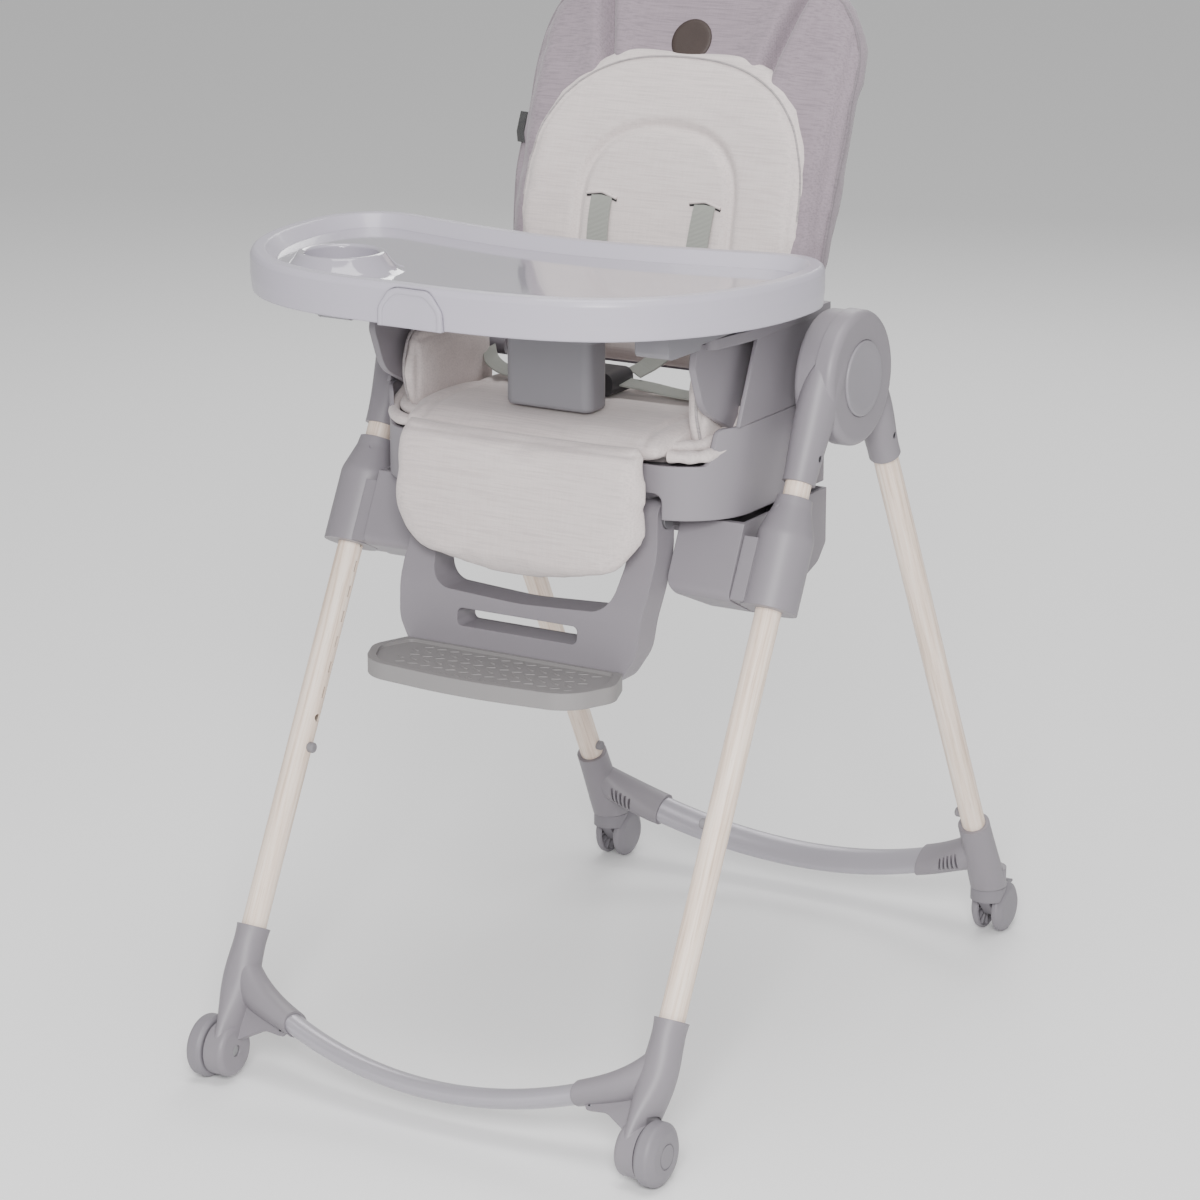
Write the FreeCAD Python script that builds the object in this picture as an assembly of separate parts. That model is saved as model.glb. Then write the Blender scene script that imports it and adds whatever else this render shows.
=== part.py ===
import FreeCAD, Part
import math
import os

# Folding baby high chair.  Millimetres, +Z up.  The sitter faces -Y, +X is the sitter's left.
# The origin lies on the floor, midway between the wheel lines and beneath the fold pivot.
# Each leg is drawn upright in a "leg frame" whose origin is the fold pivot, with -Z running down
# the leg, and is then tilted into place.

Vec = FreeCAD.Vector
X_AXIS = Vec(1, 0, 0)
Y_AXIS = Vec(0, 1, 0)
Z_AXIS = Vec(0, 0, 1)
ORIGIN = Vec(0, 0, 0)

# ---- Driving dimensions -------------------------------------------------------------------------

# frame
pivot_height = 712.0        # fold pivot above the floor
leg_lean = 27.1             # lean of every leg from upright, degrees
leg_offset = 40.5           # leg axis to fold pivot, square to the leg
leg_clearance = 40.0        # leg axis outside the side of the seat tub
leg_radius = 13.0
leg_wall = 1.6
body_gap = 0.5              # air between parts that move past each other
running_gap = 0.05          # radial air round a pin that turns

# hubs
hub_radius = 68.0
hub_outer_thick = 21.0      # outer hub casting, from the plane between the castings
hub_inner_thick = 23.0
sleeve_wall = 3.5           # leg socket below the hub
front_sleeve_end = 122.0    # down the leg from the pivot
rear_sleeve_end = 132.0
leg_top = 70.0
button_radius = 38.0
button_proud = 2.5
button_travel = 2.5
button_thick = 7.0
pivot_pin_radius = 7.0

# feet and crossbars
front_foot_length = 126.6   # wheel axle to the socket rim of the front foot, up the leg
rear_foot_length = 124.6    # the same for the rear foot
foot_sleeve_wall = 4.6
bar_width = 37.0            # oval crossbar, square to the leg
bar_depth = 20.0            # along the leg
bar_wall = 1.6
bar_sag = 31.0              # dip of the crossbar between its sockets
socket_reach = 78.0         # leg axis to the inner end of the crossbar socket
socket_wall = 3.2
bar_insert = 22.0
front_bar_offset = 87.0     # crossbar at its sockets, down the leg from the socket rim
rear_bar_offset = 76.0
rear_leg_insert = 68.0      # leg in its socket
vent_count = 5

# front wheels
wheel_radius = 32.0
wheel_width = 21.0
wheel_offset = 7.5          # leg axis to the inner face of the wheel
axle_radius = 4.0

# casters
caster_radius = 28.0
caster_trail = 18.0
caster_tread = 12.0
caster_web = 13.0
caster_gap = 1.0            # air between a caster wheel and the web
caster_top = 57.0
caster_hood_radius = 20.0
stem_radius = 4.5
stem_length = 30.0

# height adjustment
slot_pitch = 27.0
slot_count = 8
first_slot = 220.0
slot_length = 12.0
slot_width = 3.2
leg_stop_drop = 467.0
slider_top = 137.5
slider_bottom = 251.0
slider_wall = 15.3
slider_collar_wall = 4.6
slider_bore_gap = 0.4

# seat tub; its heights, and those of all that it carries, are drawn for a fold pivot at seat_datum
seat_datum = 712.0
tub_half_width = 206.0
tub_front = -186.0
tub_rear = 48.0
tub_corner = 75.0
tub_wall = 4.0
tub_bottom = 592.0
tub_floor = 640.0
tub_lip = 646.0
tub_rim = 682.0
armrest_top = 775.0
armrest_width = 26.0
bolster_thick = 18.0
buckle_front = -76.0
buckle_bottom = 679.0

# carriage below the tub
carriage_gap = 4.0          # air between the carriage and the tub
block_wall = 4.0
beam_front = -55.0
beam_rear = 30.0
beam_bottom = 545.0

# backrest
recline_y = 40.0
recline_z = 690.0
recline_pin_radius = 4.5
pad_side_gap = 16.0         # pad edge inside the side of the tub
pad_top = 1074.0
pad_thick = 27.0
inlay_inset = 25.0
inlay_top = 1003.0
inlay_corner = 120.0
inlay_thick = 13.0
back_shell_thick = 5.0
strap_width = 25.0
strap_thick = 2.0
strap_x = 61.0
harness_slot_z = 859.0
harness_slot_height = 3.8
handle_height = 945.0
badge_radius = 23.0

# tray
tray_half_width = 290.0
tray_front = -402.0
tray_rear = -75.0
tray_bottom = 806.0
tray_top = 845.0
tray_floor = 829.0
tray_skin = 4.0
rim_width = 15.0
well_slope = 13.0
insert_thick = 3.0
cup_x = -139.0
cup_y = -312.0
cup_radius = 36.0
cup_rim_top = 851.0
cup_bottom = 812.0
tab_half_width = 36.0
tab_proud = 2.5
post_half_width = 50.0
post_front = -162.0
post_rear = -124.0
post_bottom = 681.0

# leg rest and footrest
legrest_y = -193.0
legrest_z = 634.0
legrest_half_width = 143.0
legrest_length = 110.0
legrest_lean = 6.0
legrest_pad_thick = 18.0
legrest_board_thick = 4.0
knuckle_radius = 6.0
legrest_pin_radius = 3.0
knuckle_x = 88.0            # inner end of each leg rest hinge
footrest_y = -166.0
footrest_half_width = 140.0
footrest_pin_radius = 5.0
footrest_arm_width = 31.0
footrest_lug_thick = 10.0
plate_z = 441.0
plate_thick = 14.0
plate_front = -328.0

# ---- Sizes that follow --------------------------------------------------------------------------

lean = math.radians(leg_lean)
leg_x = tub_half_width + leg_clearance                  # leg axis from the middle plane
leg_y = -leg_offset                                     # leg axis in the leg frame
hub_split_x = leg_x + 1.0                               # plane between the outer and inner castings
hub_outer_x = hub_split_x + hub_outer_thick
hub_inner_x = hub_split_x - hub_inner_thick
hub_inner_radius = hub_radius - 2.0
sleeve_radius = leg_radius + sleeve_wall
foot_sleeve_radius = leg_radius + foot_sleeve_wall
slider_bore_radius = leg_radius + slider_bore_gap
slider_radius = leg_radius + slider_wall
slider_collar_radius = leg_radius + slider_collar_wall
socket_x = leg_x - socket_reach
wheel_inner_x = leg_x + wheel_offset
front_axle_drop = (pivot_height + leg_offset * math.sin(lean) - wheel_radius) / math.cos(lean)
front_rim = front_axle_drop - front_foot_length         # socket rims, down the leg
rear_rim = front_axle_drop - rear_foot_length
front_bar_drop = front_rim + front_bar_offset
rear_bar_drop = rear_rim + rear_bar_offset
rear_leg_drop = rear_rim + rear_leg_insert
carriage_top = tub_bottom - carriage_gap
footrest_z = carriage_top
footrest_arm_x = footrest_half_width - footrest_arm_width
footrest_lug_x = footrest_arm_x - footrest_lug_thick - 2.0
block_inner_x = footrest_half_width + 4.0
armrest_inner = tub_half_width - armrest_width
bolster_x = armrest_inner - 1.5                         # outer side of the thigh bolsters
cushion_half_width = bolster_x - bolster_thick - 2.5
pad_half_width = tub_half_width - pad_side_gap
inlay_half_width = pad_half_width - inlay_inset

# ---- Shape helpers ------------------------------------------------------------------------------


def box(x0, x1, y0, y1, z0, z1):
    return Part.makeBox(x1 - x0, y1 - y0, z1 - z0, Vec(x0, y0, z0))


def rod_x(x0, x1, y, z, radius):
    """Cylinder along X."""
    return Part.makeCylinder(radius, x1 - x0, Vec(x0, y, z), X_AXIS)


def outline_face(corners, place):
    """Flat face from corners (u, v, corner radius); place turns (u, v) into a point.

    A corner radius is limited where two corners would share more than the side between them.
    """
    count = len(corners)
    points = [Vec(u, v, 0) for u, v, _ in corners]
    backs = []
    aheads = []
    halves = []
    reaches = []
    for i in range(count):
        back = (points[i - 1] - points[i]).normalize()
        ahead = (points[(i + 1) % count] - points[i]).normalize()
        half = back.getAngle(ahead) / 2
        backs.append(back)
        aheads.append(ahead)
        halves.append(half)
        reaches.append(corners[i][2] / math.tan(half) if corners[i][2] > 0 else 0)
    limits = []
    for i in range(count):
        side = points[i].distanceToPoint(points[(i + 1) % count])
        limits.append(min(1.0, 0.95 * side / max(reaches[i] + reaches[(i + 1) % count], 0.001)))
    edges = []
    leaves = []
    enters = []
    for i in range(count):
        reach = reaches[i] * min(limits[i], limits[i - 1])
        enter = points[i] + backs[i] * reach
        leave = points[i] + aheads[i] * reach
        enters.append(enter)
        leaves.append(leave)
        if reach > 0:
            bisector = (backs[i] + aheads[i]).normalize()
            radius = reach * math.tan(halves[i])
            middle = points[i] + bisector * (radius / math.sin(halves[i]) - radius)
            edges.append(Part.Arc(*[place(p.x, p.y) for p in (enter, middle, leave)]).toShape())
    for i in range(count):
        here = leaves[i]
        there = enters[(i + 1) % count]
        if here.distanceToPoint(there) > 0.001:
            edges.append(Part.LineSegment(place(here.x, here.y), place(there.x, there.y)).toShape())
    return Part.Face(Part.Wire(Part.__sortEdges__(edges)))


def slab_x(corners, x0, x1):
    """Side view outline (y, z, radius) carried from x0 to x1."""
    face = outline_face(corners, lambda u, v: Vec(x0, u, v))
    return face.extrude(Vec(x1 - x0, 0, 0))


def slab_y(corners, y0, y1):
    """Front view outline (x, z, radius) carried from y0 to y1."""
    face = outline_face(corners, lambda u, v: Vec(u, y0, v))
    return face.extrude(Vec(0, y1 - y0, 0))


def slab_z(corners, z0, z1):
    """Plan outline (x, y, radius) carried from z0 to z1."""
    face = outline_face(corners, lambda u, v: Vec(u, v, z0))
    return face.extrude(Vec(0, 0, z1 - z0))


def symmetric(half):
    """Close a front view or plan outline from its +X half, listed from the middle outwards."""
    return half + [(-u, v, r) for u, v, r in reversed(half)]


def ring(centre, side, up, a, b, count=20):
    """Closed smooth oval in the plane of side and up."""
    points = []
    for i in range(count):
        angle = 2 * math.pi * i / count
        points.append(centre + side * (a * math.cos(angle)) + up * (b * math.sin(angle)))
    curve = Part.BSplineCurve()
    curve.interpolate(Points=points, PeriodicFlag=True)
    return Part.Wire([curve.toShape()])


def loft(wires):
    return Part.makeLoft(wires, True, False)


def down_loft(stations):
    """Solid through ovals stacked down the leg: (drop, x, y, half x, half y)."""
    return loft([ring(Vec(x, y, -drop), X_AXIS, Y_AXIS, a, b) for drop, x, y, a, b in stations])


def across_loft(stations):
    """Solid through ovals strung along X: (x, y, drop, half y, half drop)."""
    return loft([ring(Vec(x, y, -drop), Y_AXIS, Z_AXIS, a, b) for x, y, drop, a, b in stations])


def fillet_circles(shape, x, radius):
    """Round the circular edges that lie in the plane at x."""
    edges = []
    for edge in shape.Edges:
        flat = abs(edge.BoundBox.XMin - x) < 0.01 and abs(edge.BoundBox.XMax - x) < 0.01
        if flat and isinstance(edge.Curve, Part.Circle):
            edges.append(edge)
    return shape.makeFillet(radius, edges)


def mirrored(shape):
    return shape.mirror(ORIGIN, X_AXIS)


def lean_front(shape):
    """Leg frame to the front legs' place."""
    placed = shape.copy()
    placed.rotate(ORIGIN, X_AXIS, -leg_lean)
    placed.translate(Vec(0, 0, pivot_height))
    return placed


def lean_rear(shape):
    """Leg frame to the rear legs' place."""
    placed = shape.mirror(ORIGIN, Y_AXIS)
    placed.rotate(ORIGIN, X_AXIS, leg_lean)
    placed.translate(Vec(0, 0, pivot_height))
    return placed


def save(name, shape):
    shape.exportStep("parts/" + name + ".step")


def save_pair(name, left):
    """A part and its mirror image."""
    save(name + "_left", left)
    save(name + "_right", mirrored(left))


def on_seat(shape):
    """Lift a piece drawn for a pivot at seat_datum to the real pivot height."""
    placed = shape.copy()
    placed.translate(Vec(0, 0, pivot_height - seat_datum))
    return placed


def group(shapes):
    return Part.makeCompound(shapes)


def leg_axis_at(height):
    """How far a leg axis stands in front of or behind the pivot at a height above the floor."""
    drop = (pivot_height + leg_offset * math.sin(lean) - height) / math.cos(lean)
    return leg_offset * math.cos(lean) + drop * math.sin(lean)


# ---- Legs and hubs ------------------------------------------------------------------------------

def leg_tube(bottom):
    outer = Part.makeCylinder(leg_radius, bottom - leg_top, Vec(leg_x, leg_y, -bottom), Z_AXIS)
    inner = Part.makeCylinder(leg_radius - leg_wall, bottom - leg_top, Vec(leg_x, leg_y, -bottom), Z_AXIS)
    return outer.cut(inner)


def front_leg():
    """Tube with a ladder of height slots and a round hole in its inner side."""
    tube = leg_tube(front_bar_drop - 10)
    for i in range(slot_count):
        drop = first_slot + i * slot_pitch
        tube = tube.cut(box(leg_x - leg_radius - 1, leg_x - leg_radius / 2,
                            leg_y - slot_width / 2, leg_y + slot_width / 2,
                            -drop - slot_length / 2, -drop + slot_length / 2))
    hole_drop = first_slot + slot_count * slot_pitch
    return tube.cut(rod_x(leg_x - leg_radius - 1, leg_x, leg_y, -hole_drop, 4.0))


def leg_stop(drop):
    """Rounded nub on the inner side of a leg."""
    nub = rod_x(leg_x - leg_radius - 6, leg_x - leg_radius + 1.2, leg_y, -drop, 5.5)
    nub = fillet_circles(nub, leg_x - leg_radius - 6, 2.5)
    seat = Part.makeCylinder(leg_radius, 20, Vec(leg_x, leg_y, -drop - 10), Z_AXIS)
    return nub.cut(seat)


def sleeve_screw_drop(sleeve_end):
    return sleeve_end - 27.0


def front_hub():
    """Outer hub casting: a round boss over the pivot, swept into the front leg's socket."""
    boss = fillet_circles(rod_x(hub_split_x + body_gap, hub_outer_x, 0, 0, hub_radius),
                          hub_outer_x, 8.0)
    arm = down_loft([(-26, leg_x + 6, leg_y + 4, leg_radius, leg_radius + 8),
                     (20, leg_x + 4, leg_y - 3, leg_radius + 6, leg_radius + 10.5),
                     (62, leg_x + 1, leg_y - 1.5, leg_radius + 6.5, leg_radius + 7.5),
                     (95, leg_x, leg_y, sleeve_radius + 1.1, sleeve_radius + 1.3),
                     (front_sleeve_end, leg_x, leg_y, sleeve_radius, sleeve_radius)])
    casting = boss.fuse(arm)
    inner_room = rod_x(hub_inner_x - 20, hub_split_x + body_gap, 0, 0, hub_inner_radius + body_gap)
    casting = casting.cut(inner_room)
    pocket_floor = hub_outer_x + button_proud - button_thick - button_travel - body_gap
    casting = casting.cut(rod_x(pocket_floor, hub_outer_x + 20, 0, 0, button_radius + body_gap))
    casting = casting.cut(rod_x(hub_inner_x - 20, hub_outer_x, 0, 0, pivot_pin_radius))
    casting = casting.cut(socket_bore(front_sleeve_end))
    return casting.cut(screw_recess(front_sleeve_end, 1))


def rear_hub():
    """Inner hub casting, behind the outer one, with the rear leg's socket."""
    boss = fillet_circles(rod_x(hub_inner_x, hub_split_x, 0, 0, hub_inner_radius), hub_inner_x, 6.0)
    arm = down_loft([(-10, leg_x - 8, leg_y + 6, leg_radius - 4, leg_radius + 5),
                     (25, leg_x - 5, leg_y - 3, leg_radius + 2, leg_radius + 8),
                     (70, leg_x - 1, leg_y - 1.5, leg_radius + 6, leg_radius + 7),
                     (102, leg_x, leg_y, sleeve_radius + 0.9, sleeve_radius + 1.1),
                     (rear_sleeve_end, leg_x, leg_y, sleeve_radius, sleeve_radius)])
    casting = boss.fuse(arm)
    outer_room = rod_x(hub_split_x, hub_outer_x + 20, 0, 0, hub_radius + body_gap)
    casting = casting.cut(outer_room)
    casting = casting.cut(rod_x(hub_inner_x - 20, hub_outer_x, 0, 0, pivot_pin_radius + running_gap))
    casting = casting.cut(socket_bore(rear_sleeve_end))
    return casting.cut(screw_recess(rear_sleeve_end, 1))


def socket_bore(sleeve_end):
    length = sleeve_end - leg_top + 1
    return Part.makeCylinder(leg_radius, length, Vec(leg_x, leg_y, -sleeve_end - 1), Z_AXIS)


def screw_recess(sleeve_end, side):
    drop = sleeve_screw_drop(sleeve_end)
    reach = leg_x + side * (leg_radius + 1.5)
    far = leg_x + side * (sleeve_radius + 6)
    return rod_x(min(reach, far), max(reach, far), leg_y, -drop, 3.6)


def sleeve_screw(sleeve_end):
    """Screw head at the bottom of its recess, with a cross recess."""
    drop = sleeve_screw_drop(sleeve_end)
    head = rod_x(leg_x + leg_radius + 1.5, leg_x + leg_radius + 3.0, leg_y, -drop, 3.4)
    slot_top = leg_x + leg_radius + 3.1
    for half_y, half_z in ((0.5, 2.2), (2.2, 0.5)):
        head = head.cut(box(slot_top - 0.9, slot_top, leg_y - half_y, leg_y + half_y,
                            -drop - half_z, -drop + half_z))
    return head


def pivot_pin():
    """Shouldered bolt on which the two hub castings turn."""
    shank_end = hub_outer_x + button_proud - button_thick - button_travel - 1.0
    shank = rod_x(hub_inner_x - 3.0, shank_end, 0, 0, pivot_pin_radius)
    head = rod_x(hub_inner_x - 5.0, hub_inner_x - body_gap, 0, 0, pivot_pin_radius + 5.0)
    return shank.fuse(head)


def fold_button():
    """Round push button in the middle of the hub."""
    face = hub_outer_x + button_proud
    disc = fillet_circles(rod_x(face - button_thick, face, 0, 0, button_radius), face, 2.0)
    dish = Part.makeSphere(400.0, Vec(face + 400.0 - 1.2, 0, 0))
    return disc.cut(dish)


# ---- Crossbars and feet -------------------------------------------------------------------------

def crossbar(drop, inset):
    """Oval bar bent to a shallow arc in the plane of its legs; inset thins it all round."""
    half_span = socket_x + bar_insert
    end_sag = bar_sag * (half_span / socket_x) ** 2
    radius = (half_span ** 2 + end_sag ** 2) / (2 * end_sag)
    bottom = drop + bar_sag
    centre = Vec(0, leg_y, -(bottom - radius))
    half_angle = math.degrees(math.asin(half_span / radius))
    section = Part.Ellipse(Vec(0, leg_y + bar_width / 2 - inset, -bottom),
                           Vec(0, leg_y, -bottom + bar_depth / 2 - inset),
                           Vec(0, leg_y, -bottom))
    face = Part.Face(Part.Wire([section.toShape()]))
    face.rotate(centre, Y_AXIS, -half_angle)
    return face.revolve(centre, Y_AXIS, 2 * half_angle)


def crossbar_tube(drop):
    return crossbar(drop, 0).cut(crossbar(drop, bar_wall))


def foot_arm(drop, root_drop, root_half):
    """Arm from the leg socket to the crossbar socket."""
    return across_loft([(socket_x, leg_y, drop, bar_width / 2 + socket_wall, bar_depth / 2 + socket_wall),
                        (socket_x + 22, leg_y, drop - 8, bar_width / 2 + socket_wall,
                         bar_depth / 2 + socket_wall + 1.5),
                        (socket_x + 48, leg_y, drop - 20, bar_width / 2 + 1, bar_depth / 2 + 9),
                        (leg_x - 6, leg_y, root_drop, leg_radius + 2, root_half)])


def front_foot():
    """Casting that holds the leg, the crossbar and the wheel axle."""
    body = down_loft([(front_rim, leg_x, leg_y, foot_sleeve_radius, foot_sleeve_radius),
                      (front_rim + 42, leg_x, leg_y, foot_sleeve_radius + 0.6, foot_sleeve_radius + 0.8),
                      (front_rim + 78, leg_x - 2.5, leg_y, leg_radius + 3.5, leg_radius + 8.5),
                      (front_rim + 104, leg_x - 5, leg_y, 11.5, 25),
                      (front_axle_drop + 2, leg_x - 5.5, leg_y, 10, 26)])
    boss_outer = wheel_inner_x - 2.0
    boss = rod_x(leg_x - 17, boss_outer, leg_y, -front_axle_drop, 27)
    boss = fillet_circles(boss, leg_x - 17, 6.0)
    arm = foot_arm(front_bar_drop, front_rim + 48, 27)
    web = slab_y([(leg_x - 10, -front_rim - 64, 0), (socket_x + 6, -front_bar_drop - 6, 0),
                  (socket_x + 12, -front_bar_drop - 15, 4), (leg_x - 44, -front_bar_drop - 13, 14),
                  (leg_x - 14, -front_bar_drop - 30, 0)], leg_y - 3, leg_y + 3)
    casting = body.fuse([boss, arm, web])
    wheel_room = rod_x(boss_outer, leg_x + 60, leg_y, -front_axle_drop, wheel_radius + 2.5)
    casting = casting.cut(wheel_room)
    casting = casting.cut(rod_x(leg_x - 30, leg_x + 30, leg_y, -front_axle_drop, axle_radius))
    casting = casting.cut(rod_x(leg_x - 30, leg_x - 13, leg_y, -front_axle_drop, axle_radius + 2.0))
    casting = casting.cut(foot_leg_bore(front_rim, front_bar_drop - 10))
    return casting.cut(crossbar(front_bar_drop, 0))


def foot_leg_bore(rim, bottom):
    return Part.makeCylinder(leg_radius, bottom - rim + 1, Vec(leg_x, leg_y, -bottom), Z_AXIS)


def rear_foot():
    """Casting for the rear leg: crossbar socket at the side, caster socket underneath."""
    body = down_loft([(rear_rim, leg_x, leg_y, foot_sleeve_radius, foot_sleeve_radius),
                      (rear_rim + 40, leg_x, leg_y, foot_sleeve_radius + 0.8, foot_sleeve_radius + 1.0),
                      (rear_rim + 75, leg_x, leg_y, foot_sleeve_radius + 1.8, foot_sleeve_radius + 2.4),
                      (rear_rim + 115, leg_x, leg_y, foot_sleeve_radius + 2.4, foot_sleeve_radius + 3.4)])
    arm = foot_arm(rear_bar_drop, rear_rim + 44, 26)
    casting = body.fuse(arm)
    for i in range(vent_count):
        x = leg_x - 24 - 5.2 * i
        top = rear_rim + 40 + 3.0 * i
        length = 20.0 - 2.0 * i
        casting = casting.cut(box(x - 1.3, x + 1.3, leg_y + 14, leg_y + 40, -top - length, -top))
    casting = casting.cut(foot_leg_bore(rear_rim, rear_leg_drop))
    casting = casting.cut(crossbar(rear_bar_drop, 0))
    placed = lean_rear(casting)
    swivel_y = leg_axis_at(caster_top)
    collar = Part.makeCylinder(caster_hood_radius - 0.5, 22, Vec(leg_x, swivel_y, caster_top), Z_AXIS)
    placed = placed.fuse(collar)
    placed = placed.cut(box(leg_x - 120, leg_x + 60, 200, 520, -20, caster_top))
    stem_room = Part.makeCylinder(stem_radius + running_gap, stem_length + 1,
                                  Vec(leg_x, swivel_y, caster_top - 0.5), Z_AXIS)
    return placed.cut(stem_room)


def socket_screw(drop):
    """Dark plug under the crossbar socket."""
    x = socket_x + 14
    head_drop = drop - 5 + bar_depth / 2 + socket_wall
    return Part.makeCylinder(3.4, 3.0, Vec(x, leg_y, -head_drop - 2.2), Z_AXIS)


# ---- Wheels and casters -------------------------------------------------------------------------

def wheel_profile(x0, x1, radius, bore, shoulder):
    """Half section of a wheel turned about X, listed as (x, radius, corner radius)."""
    return [(x0, bore, 0), (x0, radius - 3, 3), (x0 + 3.5, radius, 3), (x1 - 6, radius, 6),
            (x1, shoulder, 9), (x1, bore, 0)]


def turned_x(corners, y, z):
    face = outline_face(corners, lambda u, v: Vec(u, y, z + v))
    return face.revolve(Vec(0, y, z), X_AXIS, 360)


def front_wheel():
    """Solid wheel with a slightly dished outer face."""
    outer = wheel_inner_x + wheel_width
    wheel = turned_x(wheel_profile(wheel_inner_x, outer, wheel_radius, 0.01, wheel_radius - 9), 0, 0)
    wheel = wheel.cut(rod_x(wheel_inner_x - 1, outer - 4, 0, 0, axle_radius + running_gap))
    groove = rod_x(outer - 0.8, outer + 1, 0, 0, 13.0).cut(rod_x(outer - 2, outer + 2, 0, 0, 11.8))
    wheel = wheel.cut(groove)
    wheel.translate(Vec(0, -leg_axis_at(wheel_radius), wheel_radius))
    return wheel


def front_axle():
    """Wheel axle with a head sunk in the inner face of the foot."""
    y = -leg_axis_at(wheel_radius)
    shank = rod_x(leg_x - 15, wheel_inner_x + wheel_width - 5, y, wheel_radius, axle_radius)
    head = rod_x(leg_x - 15.5, leg_x - 13, y, wheel_radius, axle_radius + 1.8)
    return shank.fuse(head)


def caster_centre():
    return leg_axis_at(caster_top) + caster_trail


def caster_fork():
    """Swivelling body between the twin wheels, with its hood, stem and axle."""
    swivel_y = leg_axis_at(caster_top)
    axle_y = caster_centre()
    half_web = caster_web / 2
    top = caster_top - body_gap
    hood_depth = 15.0
    hood = Part.makeCylinder(caster_hood_radius, hood_depth, Vec(leg_x, swivel_y, top - hood_depth), Z_AXIS)
    for side in (-1, 1):
        x0, x1 = sorted((side * half_web, side * (caster_hood_radius + 1)))
        hood = hood.cut(rod_x(leg_x + x0, leg_x + x1, axle_y, caster_radius, caster_radius + 1.2))
    web = slab_x([(swivel_y - 17, top, 0), (swivel_y - 15, top - 14, 8), (axle_y - 12, caster_radius - 9, 8),
                  (axle_y + 10, caster_radius - 9, 9), (axle_y + 17, caster_radius + 16, 4),
                  (axle_y + 14, top - 3, 4), (axle_y, top, 0)], leg_x - half_web, leg_x + half_web)
    stem = Part.makeCylinder(stem_radius, stem_length, Vec(leg_x, swivel_y, top - 3), Z_AXIS)
    pin_reach = half_web + caster_gap + caster_tread - 3
    pin = rod_x(leg_x - pin_reach, leg_x + pin_reach, axle_y, caster_radius, axle_radius)
    return hood.fuse([web, stem, pin])


def caster_wheels():
    """Twin wheels: domed outside, ribbed inside."""
    wheels = []
    near = caster_web / 2 + caster_gap
    far = near + caster_tread
    profile = [(near, axle_radius + running_gap, 0), (near, 10, 0), (near + 6, 12, 0), (near + 6, 22, 0),
               (near, 25.5, 0), (near + 1.5, caster_radius, 1.2), (far - 5, caster_radius, 4),
               (far, caster_radius - 8, 7), (far, 0.01, 0), (far - 2.5, 0.01, 0),
               (far - 2.5, axle_radius + running_gap, 0)]
    wheel = turned_x(profile, 0, 0)
    rib_count = 12
    for i in range(rib_count):
        rib = box(near + 0.4, near + 7, -0.9, 0.9, 9, 24.5)
        rib.rotate(ORIGIN, X_AXIS, 360.0 * i / rib_count)
        wheel = wheel.fuse(rib)
    wheel.translate(Vec(0, caster_centre(), caster_radius))
    other = wheel.mirror(ORIGIN, X_AXIS)
    for shape in (wheel, other):
        shape.translate(Vec(leg_x, 0, 0))
        wheels.append(shape)
    return group(wheels)


def caster_brake():
    """Small pedal behind the hood, between the wheels."""
    y = caster_centre() + 19
    z = caster_radius + 19
    half = caster_web / 2 - 0.6
    pedal = slab_x([(y - 1, z + 3, 1), (y + 3, z + 5, 2), (y + 15, z + 2, 1.5), (y + 15.5, z - 1, 1),
                    (y + 2, z - 2, 1)], leg_x - half, leg_x + half)
    return pedal


# ---- Seat carriage ------------------------------------------------------------------------------

def slider():
    """Housing that runs on the front leg, with a tapered collar."""
    shoulder = slider_top + 46
    profile = [(slider_bore_radius, -slider_top, 0), (slider_collar_radius, -slider_top, 0),
               (slider_collar_radius + 1.5, -slider_top - 10, 24), (slider_radius, -shoulder + 8, 24),
               (slider_radius, -slider_bottom, 0), (slider_bore_radius, -slider_bottom, 0)]
    section = outline_face(profile, lambda u, v: Vec(leg_x + u, leg_y, v))
    turned = section.revolve(Vec(leg_x, leg_y, 0), Z_AXIS, 360)
    flank = slab_z([(tub_half_width + 8.5, leg_y - slider_radius + 3, 0),
                    (leg_x - slider_radius + 12, leg_y - slider_radius + 3, 0),
                    (leg_x - slider_radius + 12, leg_y + slider_radius - 3, 0),
                    (tub_half_width + 8.5, leg_y + slider_radius - 3, 0)],
                   -slider_bottom + 1, -shoulder - 2)
    bore = Part.makeCylinder(slider_bore_radius + 2, slider_bottom, Vec(leg_x, leg_y, -slider_bottom), Z_AXIS)
    housing = turned.fuse(flank.cut(bore))
    mark = Part.makeCylinder(2.6, 12, Vec(leg_x - 8, leg_y - 30, -slider_top - 12), Y_AXIS)
    return lean_front(housing.cut(mark))


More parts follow.
